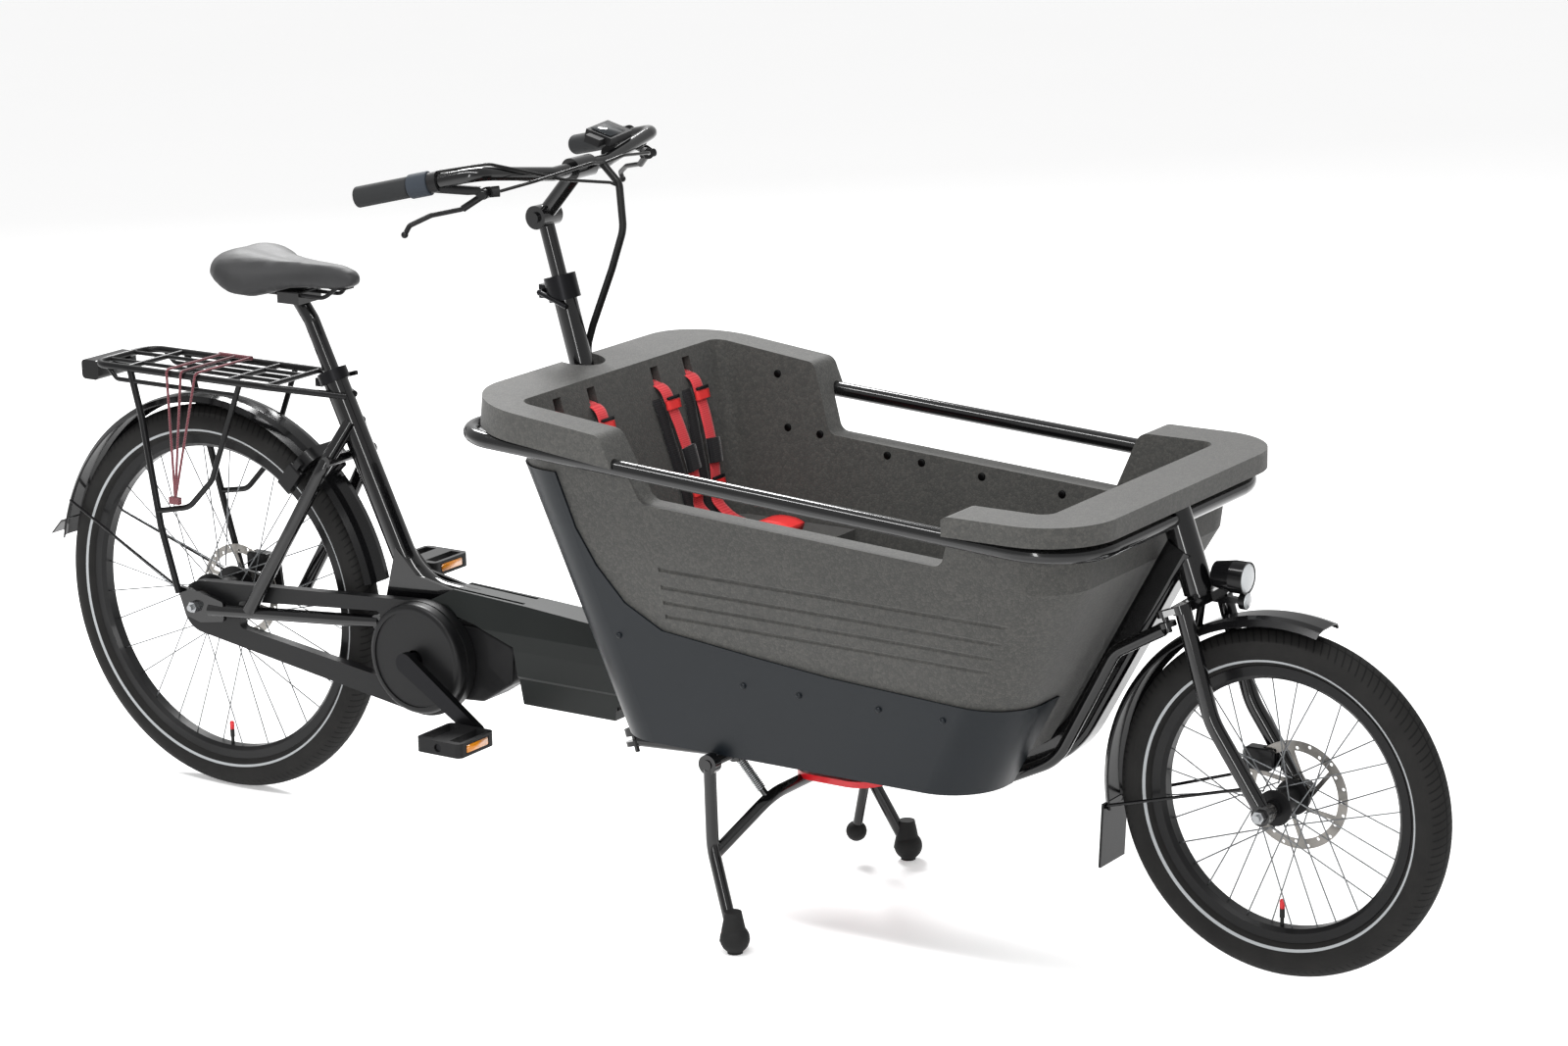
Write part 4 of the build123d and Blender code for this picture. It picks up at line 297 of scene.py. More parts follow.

# %% [markdown]
# ## Bead foam box
# The box is expanded polypropylene: beads of foam, 3 to 5 mm across, blown into a mould and fused with
# steam. The bead outlines stay visible as fine grooves, darkened with painted shade, and each bead is a
# slightly different grey. A Voronoi pattern is just such a packing of cells. Cells of 4.5 mm are drawn.

# %% Fused bead foam
bead_mm = 4.5
foam, tree, shader, place = start_finish("expanded_polypropylene_bead_foam",
                                         {"Specular IOR Level": 0.25, "IOR": 1.49, "Sheen Weight": 0.15,
                                          "Sheen Roughness": 0.6})
beads = add_node(tree, "ShaderNodeTexVoronoi", {"Scale": 1000 / bead_mm, "Randomness": 1.0},
                 {"Vector": place})
seams = add_node(tree, "ShaderNodeTexVoronoi", {"feature": "DISTANCE_TO_EDGE", "Scale": 1000 / bead_mm},
                 {"Vector": place})
haze = add_node(tree, "ShaderNodeTexNoise", {"Scale": 9.0, "Detail": 3.0}, {"Vector": place})
grey = add_node(tree, "ShaderNodeSeparateColor", None, {"Color": beads.outputs["Color"]})
bead_tone = add_node(tree, "ShaderNodeMix", {"data_type": "RGBA", 6: chip("#383836"), 7: chip("#464542")},
                     {0: grey.outputs["Red"]})
# painted shade: the colour darkens along the bead grooves, down to 0.72 of the bead's grey
painted_seam_shade = add_node(tree, "ShaderNodeMapRange", {"From Max": 0.12, "To Min": 0.72, "To Max": 1.0},
                 {"Value": seams.outputs["Distance"]})
hazed = add_node(tree, "ShaderNodeMapRange", {"To Min": 0.88, "To Max": 1.1}, {"Value": haze.outputs["Fac"]})
# depth is the painted groove shade times a faint random haze
depth = add_node(tree, "ShaderNodeMath", {"operation": "MULTIPLY"},
                 {0: painted_seam_shade.outputs["Result"], 1: hazed.outputs["Result"]})
foam_tone = add_node(tree, "ShaderNodeVectorMath", {"operation": "SCALE"},
                     {0: bead_tone.outputs[2], "Scale": depth.outputs["Value"]})
rise = add_node(tree, "ShaderNodeMapRange", {"From Max": 0.3}, {"Value": seams.outputs["Distance"]})
grain = add_node(tree, "ShaderNodeTexNoise", {"Scale": 1500.0, "Detail": 2.0}, {"Vector": place})
both = add_node(tree, "ShaderNodeMath", {"operation": "MULTIPLY_ADD", 1: 0.35},
                {0: grain.outputs["Fac"], 2: rise.outputs["Result"]})
skin = add_node(tree, "ShaderNodeBump", {"Strength": 0.55, "Distance": 0.00035},
                {"Height": both.outputs["Value"]})
matt = add_node(tree, "ShaderNodeMapRange", {"To Min": 0.62, "To Max": 0.8}, {"Value": grain.outputs["Fac"]})
tree.links.new(foam_tone.outputs["Vector"], shader.inputs["Base Color"])
tree.links.new(matt.outputs["Result"], shader.inputs["Roughness"])
tree.links.new(skin.outputs["Normal"], shader.inputs["Normal"])
dress(foam, "box_shell", "box_bench")
print("beads per metre:", round(1000 / bead_mm))

# %% [markdown]
# ## Moulded plastics
# Skirt, covers, mudguards and controls are injection moulded ABS or polypropylene. The mould is spark
# eroded, which leaves an even grain on the plastic, from 0.3 mm on smooth covers to 1 mm on tough ones.

# %% Moulded plastics
def moulded_plastic(name, colour, light, roughness, grain_mm, relief):
    """Moulded plastic with an eroded grain and a faint cloudiness from the flow into the mould."""
    finish, tree, shader, place = start_finish(name, {"IOR": 1.49, "Specular IOR Level": 0.25})
    flow = add_node(tree, "ShaderNodeTexNoise", {"Scale": 6.0, "Detail": 4.0}, {"Vector": place})
    pebble = add_node(tree, "ShaderNodeTexVoronoi", {"feature": "SMOOTH_F1", "Scale": 1000 / grain_mm},
                      {"Vector": place})
    tone = add_node(tree, "ShaderNodeMix", {"data_type": "RGBA", 6: chip(colour), 7: chip(light)},
                    {0: flow.outputs["Fac"]})
    shine = add_node(tree, "ShaderNodeMapRange", {"To Min": roughness * 0.85, "To Max": roughness * 1.25},
                     {"Value": flow.outputs["Fac"]})
    skin = add_node(tree, "ShaderNodeBump", {"Strength": relief, "Distance": 0.0001},
                    {"Height": pebble.outputs["Distance"]})
    tree.links.new(tone.outputs[2], shader.inputs["Base Color"])
    tree.links.new(shine.outputs["Result"], shader.inputs["Roughness"])
    tree.links.new(skin.outputs["Normal"], shader.inputs["Normal"])
    return finish


skirt_abs = moulded_plastic("satin_blue_black_abs", "#0d1115", "#14191e", 0.34, 0.8, 0.12)
cover_abs = moulded_plastic("satin_grey_black_abs", "#121514", "#1a1d1c", 0.4, 0.8, 0.15)
guard_abs = moulded_plastic("satin_black_polypropylene", "#0e0e0f", "#171718", 0.4, 0.7, 0.15)
fender_abs = moulded_plastic("gloss_black_polycarbonate", "#0a0a0b", "#111112", 0.16, 1.5, 0.04)
control_abs = moulded_plastic("matt_black_nylon", "#101011", "#1b1b1c", 0.55, 0.6, 0.3)
dress(skirt_abs, "box_skirt")
dress(cover_abs, "battery_cover")
dress(guard_abs, "chain_guard", "battery_pack")
dress(fender_abs, "rear_mudguard", "front_mudguard", "headlight", "tail_light")
dress(control_abs, "controls", "right_pedal", "left_pedal")
print("plastics:", [m.name for m in (skirt_abs, cover_abs, guard_abs, fender_abs, control_abs)])

# %% [markdown]
# ## Rubber
# Grips, feet and inner tubes are vulcanised rubber. It is matt, slightly grey with bloom, and holds the
# grain of its mould. The cable jackets are smoother.

# %% Rubber parts
grip_rubber = moulded_plastic("vulcanised_grip_rubber", "#1f2021", "#2b2c2d", 0.72, 1.4, 0.8)
shifter_rubber = moulded_plastic("blue_grey_shifter_rubber", "#272c33", "#343a41", 0.66, 1.4, 0.8)
foot_rubber = moulded_plastic("black_foot_rubber", "#131313", "#212121", 0.7, 1.0, 0.5)
jacket = moulded_plastic("smooth_cable_jacket", "#101010", "#191919", 0.35, 0.5, 0.1)
tube_rubber = moulded_plastic("butyl_tube_rubber", "#161616", "#202020", 0.5, 0.8, 0.2)
dress(grip_rubber, "grips")
dress(shifter_rubber, "twist_shifter")
dress(foot_rubber, "stand_feet")
dress(jacket, "control_cables")
dress(tube_rubber, "rear_inner_tube", "front_inner_tube")
print("rubbers:", [m.name for m in (grip_rubber, shifter_rubber, foot_rubber, jacket, tube_rubber)])

# %% [markdown]
# ## Tyres
# A city tyre has a rounded tread with fine slanted grooves, a smooth side wall with thin mould lines, and
# a reflective band of glass beads woven round each side. All of them are set by the distance from the
# axle and the turn round it, so the pattern turns with the wheel.

# %% Tyres with a reflective band
def tyre_rubber(name, axle, outer, band_reach, lugs):
    """Tyre rubber round an axle along Y: tread grooves at the outer reach, darkened with painted shade, and a
    bright band on the sides.
    """
    finish, tree, shader, place = start_finish(name, {"IOR": 1.52, "Specular IOR Level": 0.2})
    from_axle = add_node(tree, "ShaderNodeVectorMath", {"operation": "SUBTRACT", 1: axle}, {0: place})
    split = add_node(tree, "ShaderNodeSeparateXYZ", None, {0: from_axle.outputs["Vector"]})
    flat = add_node(tree, "ShaderNodeVectorMath", {"operation": "MULTIPLY", 1: (1, 0, 1)},
                    {0: from_axle.outputs["Vector"]})
    reach = add_node(tree, "ShaderNodeVectorMath", {"operation": "LENGTH"}, {0: flat.outputs["Vector"]})
    reach = reach.outputs["Value"]
    turn = add_node(tree, "ShaderNodeMath", {"operation": "ARCTAN2"},
                    {0: split.outputs["Z"], 1: split.outputs["X"]})
    side = add_node(tree, "ShaderNodeMath", {"operation": "ABSOLUTE"}, {0: split.outputs["Y"]})
    slant = add_node(tree, "ShaderNodeMath", {"operation": "MULTIPLY", 1: 260.0}, {0: side.outputs["Value"]})
    round_turn = add_node(tree, "ShaderNodeMath", {"operation": "MULTIPLY_ADD", 1: float(lugs)},
                          {0: turn.outputs["Value"], 2: slant.outputs["Value"]})
    wave = add_node(tree, "ShaderNodeMath", {"operation": "SINE"}, {0: round_turn.outputs["Value"]})
    sipe = add_node(tree, "ShaderNodeMath", {"operation": "GREATER_THAN", 1: 0.8}, {0: wave.outputs["Value"]})
    lane = add_node(tree, "ShaderNodeMath", {"operation": "COMPARE", 1: 0.0085, 2: 0.0011},
                    {0: side.outputs["Value"]})
    cut = add_node(tree, "ShaderNodeMath", {"operation": "MAXIMUM"},
                   {0: sipe.outputs["Value"], 1: lane.outputs["Value"]})
    tread = add_node(tree, "ShaderNodeMapRange", {"From Min": outer - 0.017, "From Max": outer - 0.014},
                     {"Value": reach})
    grooves = add_node(tree, "ShaderNodeMath", {"operation": "MULTIPLY"},
                       {0: cut.outputs["Value"], 1: tread.outputs["Result"]})
    band = add_node(tree, "ShaderNodeMath", {"operation": "COMPARE", 1: band_reach, 2: 0.0019}, {0: reach})
    ring_turn = add_node(tree, "ShaderNodeMath", {"operation": "MULTIPLY", 1: 2600.0}, {0: reach})
    lines = add_node(tree, "ShaderNodeMath", {"operation": "SINE"}, {0: ring_turn.outputs["Value"]})
    dust = add_node(tree, "ShaderNodeTexNoise", {"Scale": 30.0, "Detail": 6.0}, {"Vector": place})
    rubber = add_node(tree, "ShaderNodeMix", {"data_type": "RGBA", 6: chip("#131313"), 7: chip("#222120")},
                      {0: dust.outputs["Fac"]})
    # painted shade: the tread grooves are coloured #080808, darker than the rubber around them
    painted_groove_shade = add_node(tree, "ShaderNodeMix", {"data_type": "RGBA", 7: chip("#080808")},
                        {0: grooves.outputs["Value"], 6: rubber.outputs[2]})
    colour = add_node(tree, "ShaderNodeMix", {"data_type": "RGBA", 7: chip("#a2a5a7")},
                      {0: band.outputs["Value"], 6: painted_groove_shade.outputs[2]})
    fine_lines = add_node(tree, "ShaderNodeMath", {"operation": "MULTIPLY", 1: 0.06},
                          {0: lines.outputs["Value"]})
    height = add_node(tree, "ShaderNodeMath", {"operation": "MULTIPLY_ADD", 1: -1.0},
                      {0: grooves.outputs["Value"], 2: fine_lines.outputs["Value"]})
    relief = add_node(tree, "ShaderNodeBump", {"Strength": 0.6, "Distance": 0.0012},
                      {"Height": height.outputs["Value"]})
    matt = add_node(tree, "ShaderNodeMapRange", {"To Min": 0.78, "To Max": 0.35},
                    {"Value": band.outputs["Value"]})
    tree.links.new(colour.outputs[2], shader.inputs["Base Color"])
    tree.links.new(matt.outputs["Result"], shader.inputs["Roughness"])
    tree.links.new(relief.outputs["Normal"], shader.inputs["Normal"])
    return finish


dress(tyre_rubber("rear_tyre_rubber", rear_axle, 0.335, 0.295, 168), "rear_tyre")
dress(tyre_rubber("front_tyre_rubber", front_axle, 0.262, 0.217, 132), "front_tyre")
print("tyres:", [nodes[name].data.materials[0].name for name in ("rear_tyre", "front_tyre")])

# %% [markdown]
# ## Meshes
# New pieces start as a list of corners and faces. One tool makes the object, gives it its finish, shades it
# smooth, and hangs it on the body it moves with.

# %% A tool for new pieces
def new_piece(name, corners, faces, finish, body):
    """A mesh piece in the bicycle's own frame that rides on a body."""
    mesh = bpy.data.meshes.new(name)
    mesh.from_pydata([tuple(c) for c in corners], [], faces)
    mesh.update()
    made = bmesh.new()
    made.from_mesh(mesh)
    bmesh.ops.recalc_face_normals(made, faces=made.faces)
    made.to_mesh(mesh)
    made.free()
    for face in mesh.polygons:
        face.use_smooth = True
    mesh.materials.append(finish)
    piece = bpy.data.objects.new(name, mesh)
    bpy.context.collection.objects.link(piece)
    if body:
        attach(piece, body)
    return piece


def ring_stack(rings):
    """Corners and faces of a closed skin over rings of equal count."""
    count = len(rings[0])
    corners = [c for ring in rings for c in ring]
    faces = []
    for here in range(0, (len(rings) - 1) * count, count):
        after = here + count
        steps_round = [(j, (j + 1) % count) for j in range(count)]
        faces += [(here + j, here + k, after + k, after + j) for j, k in steps_round]
    faces.append(tuple(range(count)))
    faces.append(tuple(range((len(rings) - 1) * count, len(rings) * count)))
    return corners, faces


def turned(profile, centre, direction, steps=40):
    """Corners and faces of a round piece turned about a line: profile is (reach, height along) in metres."""
    along = Vector(direction).normalized()
    side = along.orthogonal().normalized()
    other = along.cross(side)
    rings = [[Vector(centre) + along * rise + (side * math.cos(a) + other * math.sin(a)) * reach
              for a in [2 * math.pi * k / steps for k in range(steps)]] for reach, rise in profile]
    return ring_stack(rings)


print("piece tools ready")

# %% [markdown]
# ## Saddle
# A city saddle is a foam pad on a hard shell under a grained cover. It is wide and low at its sides behind,
# narrow and level at the nose, with a shallow channel along the middle. Here it is lofted from sections,
# blown up a little with a cloth simulation so that the cover is taut and crowned, and then smoothed.

# %% Saddle pad
# Each station from the tail to the nose: x, half width, crown height, side height, underside height.
saddle_stations = [
    (0.058, 0.050, 0.942, 0.921, 0.906), (0.070, 0.076, 0.948, 0.912, 0.903),
    (0.092, 0.090, 0.951, 0.902, 0.903), (0.118, 0.091, 0.949, 0.889, 0.903),
    (0.142, 0.083, 0.944, 0.885, 0.903), (0.168, 0.064, 0.939, 0.891, 0.903),
    (0.200, 0.046, 0.937, 0.901, 0.903), (0.235, 0.034, 0.937, 0.904, 0.903),
    (0.270, 0.027, 0.937, 0.905, 0.903), (0.300, 0.023, 0.936, 0.907, 0.904),
    (0.320, 0.018, 0.933, 0.911, 0.908), (0.330, 0.010, 0.926, 0.916, 0.913)]
channel_depth = 0.004
channel_width = 0.012


def saddle_section(x, half, crown, low, under, points=28):
    """One closed section of the pad: a crowned top with a channel, rounded sides and a flat underside."""
    ring = []
    for k in range(points):
        a = 2 * math.pi * k / points
        across = math.cos(a)
        up = math.sin(a)
        y = half * math.copysign(abs(across) ** 0.75, across)
        if up >= 0:
            channel = channel_depth * math.exp(-((y / channel_width) ** 2)) if 0.08 < x < 0.29 else 0.0
            z = low + (crown - low) * abs(up) ** 0.62 - channel
        else:
            z = low + (min(low, under) - low - 0.002) * abs(up)
        ring.append(Vector((x, y, z)))
    return ring


saddle_grain_mm = 1.6
saddle_cover, tree, shader, place = start_finish("grained_saddle_cover", {
    "IOR": 1.5, "Specular IOR Level": 0.35, "Sheen Weight": 0.1})
pebbles = add_node(tree, "ShaderNodeTexVoronoi", {
    "feature": "DISTANCE_TO_EDGE", "Scale": 1000 / saddle_grain_mm}, {"Vector": place})
tint = add_node(tree, "ShaderNodeTexNoise", {"Scale": 20.0, "Detail": 4.0}, {"Vector": place})
hide = add_node(tree, "ShaderNodeMix", {"data_type": "RGBA", 6: chip("#1f1f20"), 7: chip("#2c2c2d")},
                {0: tint.outputs["Fac"]})
crease = add_node(tree, "ShaderNodeBump", {"Strength": 0.5, "Distance": 0.0003},
                  {"Height": pebbles.outputs["Distance"]})
worn = add_node(tree, "ShaderNodeMapRange", {"To Min": 0.5, "To Max": 0.66}, {"Value": tint.outputs["Fac"]})
tree.links.new(hide.outputs[2], shader.inputs["Base Color"])
tree.links.new(worn.outputs["Result"], shader.inputs["Roughness"])
tree.links.new(crease.outputs["Normal"], shader.inputs["Normal"])

corners, faces = ring_stack([saddle_section(*s) for s in saddle_stations])
saddle_pad = new_piece("saddle_pad", corners, faces, saddle_cover, None)


def keep(piece, kind, **settings):
    """Adds one modifier and applies it at once."""
    bpy.context.view_layer.objects.active = piece
    step = piece.modifiers.new(kind.lower(), kind)
    for key, value in settings.items():
        setattr(step, key, value)
    bpy.ops.object.modifier_apply(modifier=step.name)


def puff(piece, voxel, pressure, cap, frames=20):
    """Blows a closed piece up like a cushion with cloth, moves no corner further than cap, and smooths it."""
    keep(piece, "REMESH", mode="VOXEL", voxel_size=voxel)
    start = [v.co.copy() for v in piece.data.vertices]
    cloth = piece.modifiers.new("cloth", "CLOTH")
    cloth.settings.use_pressure = True
    cloth.settings.uniform_pressure_force = pressure
    cloth.settings.effector_weights.gravity = 0
    cloth.point_cache.frame_end = frames
    for step in range(1, frames + 1):
        bpy.context.scene.frame_set(step)
    shaped = piece.evaluated_get(bpy.context.evaluated_depsgraph_get())
    ends = [v.co.copy() for v in shaped.data.vertices]
    piece.modifiers.remove(cloth)
    for vertex, first, last in zip(piece.data.vertices, start, ends):
        move = last - first
        vertex.co = first + move * min(1.0, cap / max(move.length, 1e-9))
    bpy.context.scene.frame_set(1)
    keep(piece, "SMOOTH", factor=0.5, iterations=6)
    keep(piece, "SUBSURF", levels=1)
    for face in piece.data.polygons:
        face.use_smooth = True


puff(saddle_pad, voxel=0.005, pressure=4.0, cap=0.004)
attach(saddle_pad, "saddle_assembly")
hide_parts("saddle_cushion")
print("saddle corners:", len(saddle_pad.data.vertices))

# %% [markdown]
# ## Harness
# Each child seat has two shoulder straps that come through slots in the seat back, lie down over the back,
# and meet in a buckle on the bench. The webbing is woven polyester, 25 mm wide, with a rib across it every
# millimetre or so, in red, with a black pad sleeve, and the loose tail of black webbing hangs behind it.

# %% Woven webbing
def webbing(name, colour, dark, thread_mm):
    """Woven tape: ribs across the tape, and a row of threads along it."""
    finish, tree, shader, place = start_finish(name, {
        "Roughness": 0.68, "Specular IOR Level": 0.3, "Sheen Weight": 0.3, "Sheen Roughness": 0.4})
    threads = 1000 / thread_mm / 6.28
    weave, warp = [add_node(tree, "ShaderNodeTexWave", {
        "wave_type": "BANDS", "bands_direction": way, "Scale": threads}, {"Vector": place}) for way in "ZY"]
    cross = add_node(tree, "ShaderNodeMath", {"operation": "MULTIPLY"},
                     {0: weave.outputs["Fac"], 1: warp.outputs["Fac"]})
    tone = add_node(tree, "ShaderNodeMix", {"data_type": "RGBA", 6: chip(dark), 7: chip(colour)},
                    {0: cross.outputs["Value"]})
    relief = add_node(tree, "ShaderNodeBump", {"Strength": 0.6, "Distance": 0.0004},
                      {"Height": cross.outputs["Value"]})
    tree.links.new(tone.outputs[2], shader.inputs["Base Color"])
    tree.links.new(relief.outputs["Normal"], shader.inputs["Normal"])
    return finish


red_webbing = webbing("red_polyester_webbing", "#f0585a", "#c43038", 1.6)
black_webbing = webbing("black_polyester_webbing", "#1c1b20", "#0d0d10", 1.6)
buckle_red = moulded_plastic("red_acetal_buckle", "#dd2a2c", "#ee4a48", 0.35, 0.8, 0.1)
buckle_black = moulded_plastic("black_acetal_buckle", "#101012", "#1c1c1e", 0.4, 0.8, 0.15)
print("webbing and buckles:", [m.name for m in (red_webbing, black_webbing, buckle_red, buckle_black)])

# %% [markdown]
# A strap follows a soft line through a few points, with its width across the bicycle. The seat back leans
# by 0.275 m for each metre of height, so a point on it is found from its height and its gap to the back.
# A strap bulges 12 mm off the back at mid height, where the child's shoulder will be.

# %% Straps and buckles


def smooth_line(points, steps=6):
    """More points on a soft line through a few."""
    line = []
    for i in range(len(points) - 1):
        before = Vector(points[max(i - 1, 0)])
        a, b = Vector(points[i]), Vector(points[i + 1])
        after = Vector(points[min(i + 2, len(points) - 1)])
        for k in range(steps):
            t = k / steps
            line.append(0.5 * ((2 * a) + (b - before) * t + (2 * before - 5 * a + 4 * b - after) * t * t
                               + (3 * a - before - 3 * b + after) * t ** 3))
    line.append(Vector(points[-1]))
    return line


# Half the outline of a strap's section, as shares of half its width and half its thickness.
tape_edge = [(-1, -0.4), (-0.96, -1), (-0.5, -1), (0, -1), (0.5, -1), (0.96, -1), (1, -0.4)]
tape_outline = tape_edge + [(-a, -b) for a, b in tape_edge]


def tape(name, points, width, thick, finish):
    """A flat strap along a line, its width across Y, with rounded edges."""
    rings = []
    line = smooth_line(points)
    for i, centre in enumerate(line):
        run = (line[min(i + 1, len(line) - 1)] - line[max(i - 1, 0)]).normalized()
        across = (Vector((0, 1, 0)) - run * run.y).normalized()
        out = run.cross(across).normalized()
        rings.append([centre + across * a * width / 2 + out * b * thick / 2 for a, b in tape_outline])
    corners, faces = ring_stack(rings)
    return new_piece(name, corners, faces, finish, "frame")


def back_at(height, off):
    """X of a point a little in front of the seat back, in metres."""
    return 0.883 - 0.27544 * (height - 0.711) + off


bench_top = 0.5525
# Each strap's y at its slot and at the bench.
strap_ends = ((-0.173, -0.150), (-0.085, -0.108), (0.085, 0.108), (0.173, 0.150))
for number, (top_y, foot_y) in enumerate(strap_ends):
    lean = [(z, top_y + (foot_y - top_y) * (0.79 - z) / 0.24) for z in (0.774, 0.75, 0.71, 0.66, 0.61, 0.585)]
    route = [(back_at(0.786, -0.02), top_y, 0.786), (back_at(0.783, -0.004), top_y, 0.783)]
    route += [(back_at(z, 0.007 + 0.012 * math.sin(math.pi * (0.79 - z) / 0.21)), y, z) for z, y in lean]
    route += [(x, foot_y, bench_top + rise) for x, rise in ((0.955, 0.012), (0.99, 0.004), (1.045, 0.004))]
    tape(f"shoulder_strap_{number}", route, 0.026, 0.002, red_webbing)
    tail = [(back_at(0.783, -0.016), top_y - 0.008, 0.783)]
    tail += [(back_at(z, 0.0035), y - 0.017, z) for z, y in lean[1:]]
    tail += [(0.945, foot_y - 0.014, bench_top + 0.004), (0.985, foot_y - 0.012, bench_top + 0.002)]
    tape(f"strap_tail_{number}", tail, 0.026, 0.002, black_webbing)
    sleeve = [(back_at(z, 0.0105 + 0.012 * math.sin(math.pi * (0.79 - z) / 0.21)), y, z) for z, y in
              [(z, top_y + (foot_y - top_y) * (0.79 - z) / 0.24) for z in (0.685, 0.672, 0.659, 0.646)]]
    tape(f"strap_sleeve_{number}", sleeve, 0.031, 0.007, black_webbing)
    for spot, z in enumerate((0.752, 0.612)):
        y = top_y + (foot_y - top_y) * (0.79 - z) / 0.24
        x = back_at(z, 0.012 + 0.012 * math.sin(math.pi * (0.79 - z) / 0.21))
        slide = [(x - 0.0015, y, z + 0.007), (x, y, z), (x + 0.0015, y, z - 0.007)]
        tape(f"strap_slide_{number}_{spot}", slide, 0.034, 0.006, buckle_red)
        bar = [(x - 0.001, y, z + 0.0135), (x, y, z + 0.0115), (x, y, z + 0.0095)]
        tape(f"strap_slide_bar_{number}_{spot}", bar, 0.03, 0.005, buckle_black)
for number, middle in enumerate((-0.129, 0.129)):
    for kind, width, thick, finish, line in (
            ("buckle_body", 0.052, 0.016, buckle_red,
             ((1.032, 0.012), (1.05, 0.016), (1.075, 0.015), (1.09, 0.010))),
            ("crotch_strap", 0.026, 0.002, black_webbing, ((1.088, 0.006), (1.102, 0.003), (1.118, 0.003))),
            ("lap_joiner", 0.082, 0.006, buckle_black, ((1.028, 0.006), (1.036, 0.0065), (1.046, 0.007)))):
        points = [(x, middle, bench_top + rise) for x, rise in line]
        tape(f"{kind}_{number}", points, width, thick, finish)
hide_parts("harness_straps")

# %% [markdown]
# ## Elastic cords
# Three rubber cores in a dark red woven sleeve hold luggage on the rack. The sleeve is a braid, so its
# threads cross at a slant, drawn here as two crossed waves.

# %% Braided elastic on the rack
braid, tree, shader, place = start_finish("dark_red_braided_sleeve", {"Roughness": 0.7, "Sheen Weight": 0.3})
braid_scale = 95.0
crossed = []
for lean_to in (0.7, -0.7):
    leaned = add_node(tree, "ShaderNodeMapping", {"Rotation": (0.0, lean_to, 0.0)}, {"Vector": place})
    crossed.append(add_node(tree, "ShaderNodeTexWave", {
        "wave_type": "BANDS", "bands_direction": "Z", "Scale": braid_scale},
                            {"Vector": leaned.outputs["Vector"]}))
braided = add_node(tree, "ShaderNodeMath", {"operation": "MULTIPLY"},
                   {0: crossed[0].outputs["Fac"], 1: crossed[1].outputs["Fac"]})
sleeve_tone = add_node(tree, "ShaderNodeMix", {"data_type": "RGBA", 6: chip("#4c1a22"), 7: chip("#8e3b46")},
                       {0: braided.outputs["Value"]})
sleeve_bump = add_node(tree, "ShaderNodeBump", {"Strength": 0.6, "Distance": 0.0004},
                       {"Height": braided.outputs["Value"]})
tree.links.new(sleeve_tone.outputs[2], shader.inputs["Base Color"])
tree.links.new(sleeve_bump.outputs["Normal"], shader.inputs["Normal"])
dress(braid, "rack_straps")
print("braid waves per metre:", braid_scale)

# %% [markdown]
# ## Lamps, reflectors and small parts
# Lenses are clear or coloured acrylic over facets. They are turned or lofted here, and sit on the faces of
# their lamps, so that they move with them.

# %% Lenses and reflectors
def lens_plastic(name, colour, facet_mm, clear):
    """Acrylic lens with small moulded facets."""
    finish, tree, shader, place = start_finish(name, {
        "IOR": 1.49, "Roughness": 0.08, "Base Color": chip(colour), "Transmission Weight": clear,
        "Coat Weight": 0.5})
    facets = add_node(tree, "ShaderNodeTexVoronoi", {"distance": "CHEBYCHEV", "Scale": 1000 / facet_mm},
                      {"Vector": place})
    relief = add_node(tree, "ShaderNodeBump", {"Strength": 0.7, "Distance": 0.0006},
                      {"Height": facets.outputs["Distance"]})
    tree.links.new(relief.outputs["Normal"], shader.inputs["Normal"])
    return finish


clear_lens = lens_plastic("clear_acrylic_lens", "#e6eaec", 4.0, 0.3)
red_lens = lens_plastic("red_acrylic_lens", "#8e0f14", 3.0, 0.25)
amber_lens = lens_plastic("amber_acrylic_reflector", "#e08a1e", 2.5, 0.2)
lens_dome = [(0.0205, 0.0), (0.0215, 0.001), (0.0212, 0.0022), (0.017, 0.0034), (0.009, 0.004),
             (0.002, 0.0042)]
corners, faces = turned(lens_dome, (1.9535, 0.0, 0.631), (1, 0, 0))
new_piece("headlight_lens", corners, faces, clear_lens, "fork_assembly")
reflector_dome = [(0.0115, 0.0), (0.012, 0.0006), (0.0115, 0.0012), (0.004, 0.0015)]
corners, faces = turned(reflector_dome, (1.9552, 0.0, 0.597), (1, 0, 0))
new_piece("front_reflector", corners, faces, clear_lens, "fork_assembly")


def pillow(name, centre, size, finish, body, tilt_by=(0, 0, 0)):
    """A slab with rounded corners, from a bevelled block."""
    made = bmesh.new()
    bmesh.ops.create_cube(made, size=1.0)
    bmesh.ops.scale(made, vec=size, verts=made.verts)
    bmesh.ops.bevel(made, geom=made.edges, offset=min(size) * 0.3, segments=3, affect="EDGES")
    spin = Euler([math.radians(a) for a in tilt_by]).to_matrix().to_4x4()
    bmesh.ops.transform(made, matrix=Matrix.Translation(centre) @ spin, verts=made.verts)
    corners = [v.co.copy() for v in made.verts]
    faces = [[v.index for v in f.verts] for f in made.faces]
    made.free()
    return new_piece(name, corners, faces, finish, body)


press_in = 0.0005
tail_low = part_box("tail_light")[0]
pillow("tail_lens", (tail_low.x - press_in, 0, 0.716), (0.006, 0.088, 0.026), red_lens, "frame")
for side in ("right", "left"):
    low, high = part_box(side + "_pedal")
    middle = (low + high) / 2
    for end, x in (("front", high.x - press_in), ("rear", low.x + press_in)):
        pillow(f"{side}_pedal_reflector_{end}", (x, middle.y, middle.z), (0.003, 0.054, 0.0125), amber_lens,
               side + "_pedal_body")
print("lenses:", [m.name for m in (clear_lens, red_lens, amber_lens)])

# %% [markdown]
# The display's glass lies on its tilted housing. The valves wear red caps, and the box is held by seven
# bolts along each side wall, which leans outward by 0.2 m for each metre of height.

